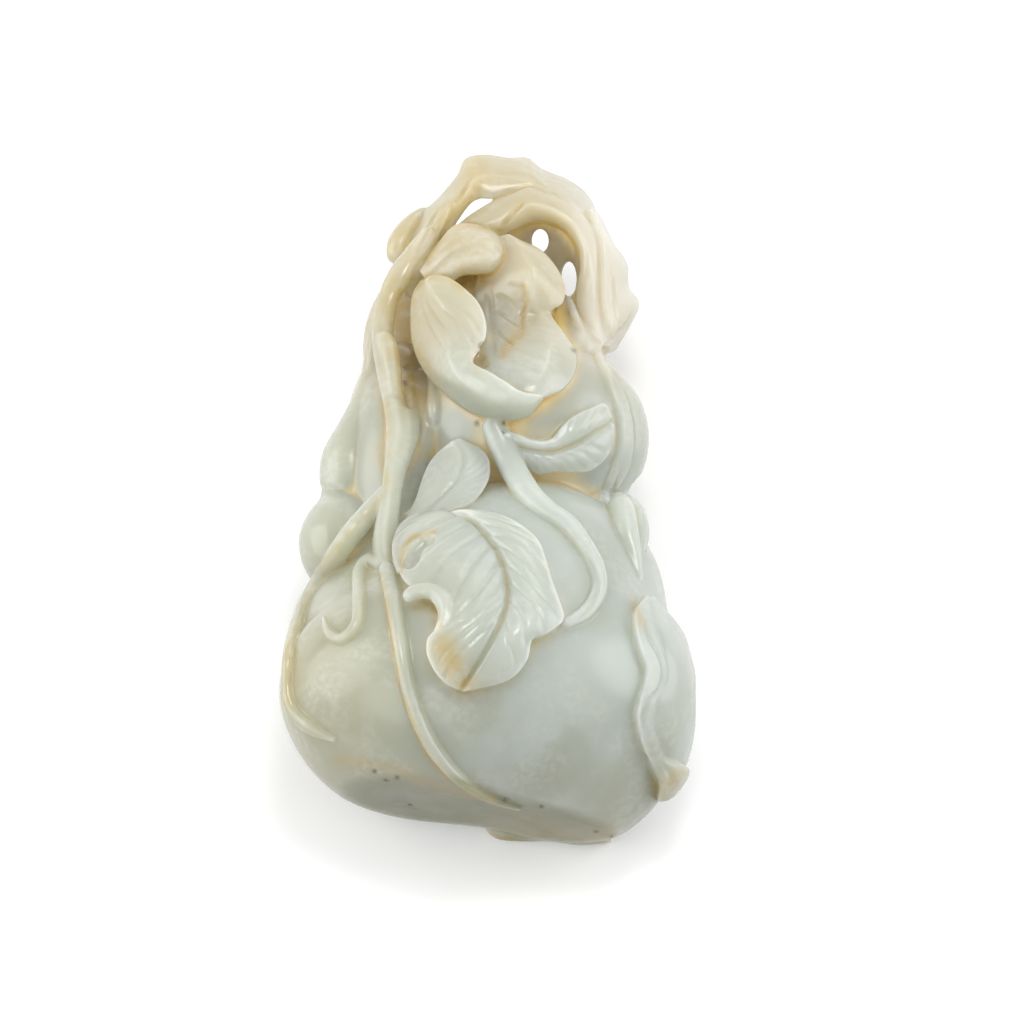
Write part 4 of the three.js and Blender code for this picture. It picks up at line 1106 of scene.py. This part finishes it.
# the end's tint and painted shade come in with the veils
END_SHADE_IN_VEILS = (0.3, 0.6, 0.75, 1)
UPPER_PART = (-0.03, 0.03, 0.25, 1)
# painted glow: the upper hollows are lightened, standing in for light that comes through the stone
GLOW_IN_HOLLOWS = (0.05, 0.26)
AMBER_IN_CREASES = (0.05, 0.22)
AMBER_IN_VEILS = (0.35, 0.6, 0.25, 0.9)
TAN_IN_THREADS = (0.3, 0.55, 0.4, 1)
# The ramps of the roughness. Above about 0.27 in all, the denoised render shows patches.
POLISH_IN_VEILS = (0.4, 0.65, 0.2, 0.25)
DULL_WITH_WEAR = (0.4, 0.8, 0, 0.015)

# Where the brown skin of the pebble or old dirt shows: a line, how far it reaches, and its strength.
STAINS = (
    # the left foot of the arch
    ([(-2.5, 59.3), (-2.9, 56), (-5.1, 52.7), (-7.3, 49.5)], 2.6, 0.6),
    ([(-5.1, 50.1), (-7.3, 47.3), (-9.5, 44.4)], 0.6, 0.8),
    ([(-16.2, 45.1), (-14.3, 47.3), (-11.7, 50.1)], 1.6, 0.35),
    ([(-13.5, 41.4), (-11.7, 41.1)], 0.4, 0.6),
    # the upper edges of the two left petals
    ([(-9.7, 43.8), (-8.6, 45.9), (-6.7, 48.6), (-4.8, 49.7), (-2.2, 50), (-0.2, 49.3)], 0.6, 0.85),
    ([(-11.7, 39), (-10.2, 41.4), (-7.8, 42), (-6, 41.3), (-4.1, 39.7)], 0.7, 0.8),
    ([(-3.8, 40.8), (-0.6, 40.3)], 1.6, 0.8),
    # the wall inside the ring
    ([(6.3, 49.5), (9.8, 49), (12.4, 47.3), (13.7, 44.1), (13.8, 39.7)], 2.0, 0.35),
    ([(2.1, 48.9), (3.5, 51.3), (5.4, 53.3)], 0.5, 0.5),
    # the deep gap beside the main stem
    ([(-13.7, 38.4), (-13.7, 33), (-12.7, 27.9), (-11.4, 22.8)], 3.0, 0.85),
    ([(-17.5, 14.3), (-16.5, 10.8), (-15.9, 8.2)], 0.8, 0.5),
    # the crack, the rough spots and the pocket of the blossom
    ([(5.6, 40), (6.2, 37.8), (5.4, 35.4), (5.7, 32.8)], 0.45, 0.8),
    ([(2.2, 29.3), (3.5, 30.8), (5.2, 32.4)], 1.0, 0.75),
    ([(-1.4, 28.6), (-1, 27.8)], 1.5, 0.6),
    # the long stem's left edge and the creeper on the left flank
    ([
        (-16.8, -5.7), (-16, -10.2), (-14.9, -17), (-13.7, -23.8), (-11.7, -29.5), (-9.2, -34.5),
        (-5.7, -38.4),
    ], 0.4, 0.7),
    ([(-16.2, 21.9), (-16, 13.2)], 0.7, 0.6),
    ([(-15.2, 8.2), (-20.3, 2.8), (-25.9, -3.8), (-28.6, -8.6), (-30.5, -16.2)], 0.5, 0.35),
    # the rim, the curl and the tip of the large leaf
    ([(-13.8, -5.4), (-13.5, -2.1), (-12.1, 0.1), (-8.6, 0.9)], 0.5, 0.75),
    ([(-11.9, -11.1), (-10, -10.2), (-8.1, -11.6), (-7.9, -14.9)], 0.6, 0.7),
    ([(-7, -17.2), (-5.7, -19.7), (-3.8, -22.9)], 2.2, 0.7),
    # the long wavy leaf and its tip
    ([(23.2, -10.5), (24.1, -13.3)], 1.0, 0.5),
    ([(27.9, -40), (30.5, -37.5)], 1.8, 0.5),
    # the left side and the lower edge of the belly
    ([(-31.6, -14.6), (-31.9, -25.7)], 2.2, 0.35),
    ([(-23.2, -34.9), (-17.9, -35.9), (-14, -36.7), (-7.6, -39.2), (0.3, -41.6)], 1.1, 0.4),
    ([(0.3, -47.6), (11.4, -48), (19.4, -47.6)], 2.2, 0.45),
)

# Specks of black dirt in the deep places round the blossom.
SPECKS = ((13.7, 29.7), (2.5, 18.2), (2.5, 16.8), (-13, 27), (-13.2, 24.7), (-1.9, 18.1))

# How much of a speck's colour is dirt.
DIRT_STRENGTH = 0.9
# How much of a stain shows on a face seen edge-on, and how fast that grows as it faces the viewer.
STAIN_EDGE_ON = 0.5
STAIN_FACING = 1.5
# How far round a place the stone counts for its creases and for its hollows, and how far the tint and
# the painted shade of the belly's end reach in from its face.
CREASE_REACH = 0.75
HOLLOW_REACH = 3.5
END_REACH = 0.8


def distance_to(line, places):
    """How far each place is from a line of places."""
    ends = np.array(line)
    nearest = np.full(len(places), np.inf)
    for a, b in zip(ends[:-1], ends[1:]):
        along = b - a
        share = np.clip((places - a) @ along / max(along @ along, 1e-9), 0, 1)
        nearest = np.minimum(nearest, np.linalg.norm(places - a - share[:, None] * along, axis=1))
    return nearest


def dress(piece):
    """Puts the vertices back on the zero of the field, and gives them what the colours go by."""
    mesh = piece.data
    points = np.empty(len(mesh.vertices) * 3, np.float32)
    mesh.vertices.foreach_get("co", points)
    points = points.reshape(-1, 3).astype(float) / MM
    for _ in range(SETTLING_STEPS):
        points = points - field_normal(points) * sampled(field, points)[:, None]
    normals = field_normal(points)
    mesh.vertices.foreach_set("co", ((points + TO_MIDDLE) * MM).astype(np.float32).ravel())
    mesh.polygons.foreach_set("use_smooth", np.ones(len(mesh.polygons), bool))
    mesh.update()
    mesh.normals_split_custom_set_from_vertices(normals)
    v = points[:, 1] * RISE + points[:, 2] * RUN
    facing = np.clip(STAIN_EDGE_ON + STAIN_FACING * normals @ TO_VIEWER, 0, 1)
    seen_at = np.stack([points[:, 0], v], axis=1)
    stain = np.zeros(len(points))
    for line, reach, strength in STAINS:
        stain = np.maximum(stain, strength * dip(distance_to(line, seen_at), reach) * facing)
    dirt = np.zeros(len(points))
    for spot in (*PITS, *SPECKS):
        near = dip(distance_to([spot, spot], seen_at), PIT_RADIUS)
        dirt = np.maximum(dirt, DIRT_STRENGTH * near * facing)
    into_end = (points - np.array(END_FLAT_POINT)) @ unit(np.array(END_FLAT_OUTWARD))
    measures = {
        "crease": sampled(hollowness(CREASE_REACH), points),
        "hollow": sampled(hollowness(HOLLOW_REACH), points),
        "stain": stain,
        "dirt": dirt,
        "end": np.clip(1 + into_end / END_REACH, 0, 1),
    }
    for name, values in measures.items():
        mesh.attributes.new(name, "FLOAT", "POINT").data.foreach_set("value", values.astype(np.float32))


def node(tree, kind, inputs=None, **settings):
    made = tree.nodes.new(kind)
    for name, value in settings.items():
        setattr(made, name, value)
    for name, value in (inputs or {}).items():
        if isinstance(value, bpy.types.NodeSocket):
            tree.links.new(value, made.inputs[name])
        else:
            made.inputs[name].default_value = value
    return made


def color_mix(tree, share, first, second):
    """Two colours mixed by a share from 0 to 1; either may be another node's colour."""
    mix = tree.nodes.new("ShaderNodeMix")
    mix.data_type = "RGBA"
    sockets = {socket.identifier: socket for socket in mix.inputs}
    tree.links.new(share, sockets["Factor_Float"])
    for name, color in (("A_Color", first), ("B_Color", second)):
        if isinstance(color, bpy.types.NodeSocket):
            tree.links.new(color, sockets[name])
        else:
            sockets[name].default_value = (*color, 1)
    return next(socket for socket in mix.outputs if socket.identifier == "Result_Color")


def noise(tree, where, scale, detail=4, roughness=0.55, distortion=0.0):
    """Cloudy noise over the stone, its scale in cycles a metre."""
    made = node(tree, "ShaderNodeTexNoise", {
        "Vector": where,
        "Scale": scale,
        "Detail": detail,
        "Roughness": roughness,
        "Distortion": distortion,
    })
    return made.outputs["Fac"]


def spread(tree, value, low, high, least=0.0, most=1.0):
    """The value's stretch from low to high as a smooth share from least to most."""
    made = node(tree, "ShaderNodeMapRange", {
        "Value": value,
        "From Min": low,
        "From Max": high,
        "To Min": least,
        "To Max": most,
    }, interpolation_type="SMOOTHSTEP")
    return made.outputs["Result"]


def calculated(tree, operation, first, second):
    made = node(tree, "ShaderNodeMath", operation=operation)
    for socket, value in zip(made.inputs, (first, second)):
        if isinstance(value, bpy.types.NodeSocket):
            tree.links.new(value, socket)
        else:
            socket.default_value = value
    return made.outputs["Value"]


def product(tree, first, *others):
    for other in others:
        first = calculated(tree, "MULTIPLY", first, other)
    return first


def measure(tree, name):
    return node(tree, "ShaderNodeAttribute", attribute_name=name).outputs["Fac"]


def stone_color(tree, where):
    """Celadon, deeper and darker towards the bottom as its tone and as painted shade, with bluish clouds
    on the right of the belly, ivory towards the stem end, yellowish-brown and darker at the flat end as
    its tint and as painted shade, a painted glow in the upper hollows and along convex edges for light
    that comes through the stone, and brown along the creases and where the pebble's skin was left.
    Gives the colour and the two noises that the polish and the bump use too."""
    place = node(tree, "ShaderNodeSeparateXYZ", {"Vector": where})
    clouds = noise(tree, where, CLOUD_SCALE, detail=3, roughness=0.45, distortion=0.6)
    veils = noise(tree, where, VEIL_SCALE, detail=2.5, roughness=0.4, distortion=0.4)
    threads = noise(tree, where, THREAD_SCALE, detail=3)
    flecks = noise(tree, where, FLECK_SCALE, detail=2)
    across, length = place.outputs["X"], place.outputs["Y"]
    along = calculated(tree, "ADD", length, spread(tree, clouds, *DRIFT))
    crease = measure(tree, "crease")
    # deeper and darker towards the bottom: its tone, and painted shade where less light reaches
    body = color_mix(tree, spread(tree, along, *CELADON_ALONG), CELADON_DEEP_AND_SHADED, CELADON)
    straw = product(tree, spread(tree, across, *STRAW_ACROSS), spread(tree, along, *STRAW_ALONG))
    body = color_mix(tree, straw, body, STRAW)
    cool = product(
        tree,
        spread(tree, across, *CLOUD_ACROSS),
        spread(tree, clouds, *CLOUD_IN_CLOUDS),
        spread(tree, along, *CLOUD_ALONG),
    )
    body = color_mix(tree, cool, body, CELADON_CLOUD)
    body = color_mix(tree, spread(tree, along, *IVORY_ALONG), body, IVORY)
    pale = product(tree, spread(tree, across, *CREAM_ACROSS), spread(tree, along, *CREAM_ALONG))
    body = color_mix(tree, pale, body, CREAM)
    milk = product(tree, spread(tree, veils, *MILK_IN_VEILS), spread(tree, flecks, *MILK_IN_FLECKS))
    body = color_mix(tree, milk, body, MILK_AND_EDGE_GLOW)
    # the flat end: its yellowish tint, and painted shade where it is lit less
    end_tint_and_shade = product(tree, measure(tree, "end"), spread(tree, veils, *END_SHADE_IN_VEILS))
    body = color_mix(tree, end_tint_and_shade, body, YELLOWISH_END_AND_SHADE)
    # painted glow: convex edges are lightened towards milky white, standing in for light through thin
    # stone
    body = color_mix(tree, spread(tree, crease, *PAINTED_EDGE_GLOW), body, MILK_AND_EDGE_GLOW)
    upper = spread(tree, length, *UPPER_PART)
    # painted glow in the upper hollows, for light that comes through the stone
    glow = product(tree, spread(tree, measure(tree, "hollow"), *GLOW_IN_HOLLOWS), upper)
    body = color_mix(tree, glow, body, HOLLOW_GLOW)
    creases = spread(tree, crease, *AMBER_IN_CREASES)
    amber = product(tree, creases, spread(tree, veils, *AMBER_IN_VEILS), upper)
    body = color_mix(tree, amber, body, AMBER)
    stain = product(tree, measure(tree, "stain"), spread(tree, threads, *TAN_IN_THREADS))
    body = color_mix(tree, stain, body, TAN)
    return color_mix(tree, measure(tree, "dirt"), body, DIRT), veils, threads


def jade():
    material = bpy.data.materials.new("polished jade")
    material.use_nodes = True
    tree = material.node_tree
    tree.nodes.clear()
    where = node(tree, "ShaderNodeTexCoord").outputs["Object"]
    color, veils, threads = stone_color(tree, where)
    wear = noise(tree, where, WEAR_SCALE, detail=3)
    polish = spread(tree, veils, *POLISH_IN_VEILS)
    dull = calculated(tree, "ADD", polish, spread(tree, wear, *DULL_WITH_WEAR))
    bump = node(tree, "ShaderNodeBump", {
        "Height": calculated(tree, "ADD", wear, threads),
        "Strength": 0.06,
        "Distance": 0.0001,
    })
    shader = node(tree, "ShaderNodeBsdfPrincipled", {
        "Base Color": color,
        "Roughness": dull,
        "Normal": bump.outputs["Normal"],
        "Subsurface Weight": 1.0,
        "Subsurface Radius": (1.0, 0.95, 0.8),
        "Subsurface Scale": 0.015,
        "IOR": 1.61,
    })
    out = node(tree, "ShaderNodeOutputMaterial")
    tree.links.new(shader.outputs["BSDF"], out.inputs["Surface"])
    return material


def paper():
    material = bpy.data.materials.new("white paper")
    material.use_nodes = True
    shader = material.node_tree.nodes["Principled BSDF"]
    shader.inputs["Base Color"].default_value = (0.92, 0.92, 0.92, 1)
    shader.inputs["Roughness"].default_value = 0.9
    shader.inputs["Emission Color"].default_value = (1, 1, 1, 1)
    shader.inputs["Emission Strength"].default_value = 0.1
    return material


def floor():
    bpy.ops.mesh.primitive_plane_add(size=6)
    ground = bpy.context.object
    ground.name = "floor"
    ground.data.materials.append(paper())
    ground.visible_diffuse = False


def softbox(name, place, aim, size, power):
    light = bpy.data.lights.new(name, "AREA")
    light.shape = "DISK"
    light.size = size
    light.energy = power
    lamp = bpy.data.objects.new(name, light)
    bpy.context.scene.collection.objects.link(lamp)
    lamp.location = place
    lamp.rotation_mode = "QUATERNION"
    lamp.rotation_quaternion = (Vector(aim) - Vector(place)).to_track_quat("-Z", "Y")


# The soft lamps: name, place, the point it is aimed at, size and power.
LAMPS = (
    ("overhead", (0.1, 0.25, 1.2), (0, 0, 0), 0.4, 3),
    ("front", (-0.8, -0.8, 1), (0, 0, 0.02), 1, 4),
    ("behind", (0.4, 1.1, 0.8), (0, 0, 0.02), 0.9, 2.8),
    ("right", (1.4, 0.2, 0.6), (0, 0, 0.02), 1.4, 10),
    ("left", (-1.4, 0.2, 0.6), (0, 0, 0.02), 1.4, 11),
)

# The brightness of the surroundings below and above the horizon, and how far the change reaches.
SKY = (0.45, 0.72)
HORIZON = 0.3


def studio():
    world = bpy.data.worlds.new("studio")
    bpy.context.scene.world = world
    world.use_nodes = True
    tree = world.node_tree
    # light from above only: what reaches the stone from below is dim, as from the shadow it casts
    toward = node(tree, "ShaderNodeTexCoord").outputs["Generated"]
    height = node(tree, "ShaderNodeSeparateXYZ", {"Vector": toward}).outputs["Z"]
    strength = tree.nodes["Background"].inputs["Strength"]
    tree.links.new(spread(tree, height, -HORIZON, HORIZON, *SKY), strength)
    tree.nodes["Background"].inputs["Color"].default_value = (1, 1, 1, 1)
    for lamp in LAMPS:
        softbox(*lamp)
    bpy.context.scene.view_settings.view_transform = "Standard"


# The camera: its lens and sensor, the place in the middle of the picture, and the width that the
# picture takes in, from its pixels and how many of them cover a millimetre.
FOCAL_LENGTH = 1000
SENSOR_WIDTH = 36
PICTURE_MIDDLE = (3.8, 4.1, 22)
PIXELS_ACROSS = 1024
PIXELS_A_MILLIMETRE = 6.3
PICTURE_WIDTH = PIXELS_ACROSS / PIXELS_A_MILLIMETRE


def camera():
    """Looks down on the carving as the photograph does, from far enough that it hardly tapers."""
    lens = bpy.data.cameras.new("camera")
    lens.sensor_width = SENSOR_WIDTH
    lens.lens = FOCAL_LENGTH
    viewer = bpy.data.objects.new("camera", lens)
    bpy.context.scene.collection.objects.link(viewer)
    aim = Vector((seen(*PICTURE_MIDDLE) + TO_MIDDLE) * MM)
    reach = PICTURE_WIDTH * MM * FOCAL_LENGTH / SENSOR_WIDTH
    viewer.location = aim + Vector(TO_VIEWER) * reach
    viewer.rotation_mode = "QUATERNION"
    viewer.rotation_quaternion = (-Vector(TO_VIEWER)).to_track_quat("-Z", "Y")
    bpy.context.scene.camera = viewer


build_field()
field[:] = rounded(field, POLISHING_PASSES)
carving = surface()
dress(carving)
carving.data.materials.append(jade())
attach(carving, "root")
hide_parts("double_gourd_carving")
floor()
studio()
camera()
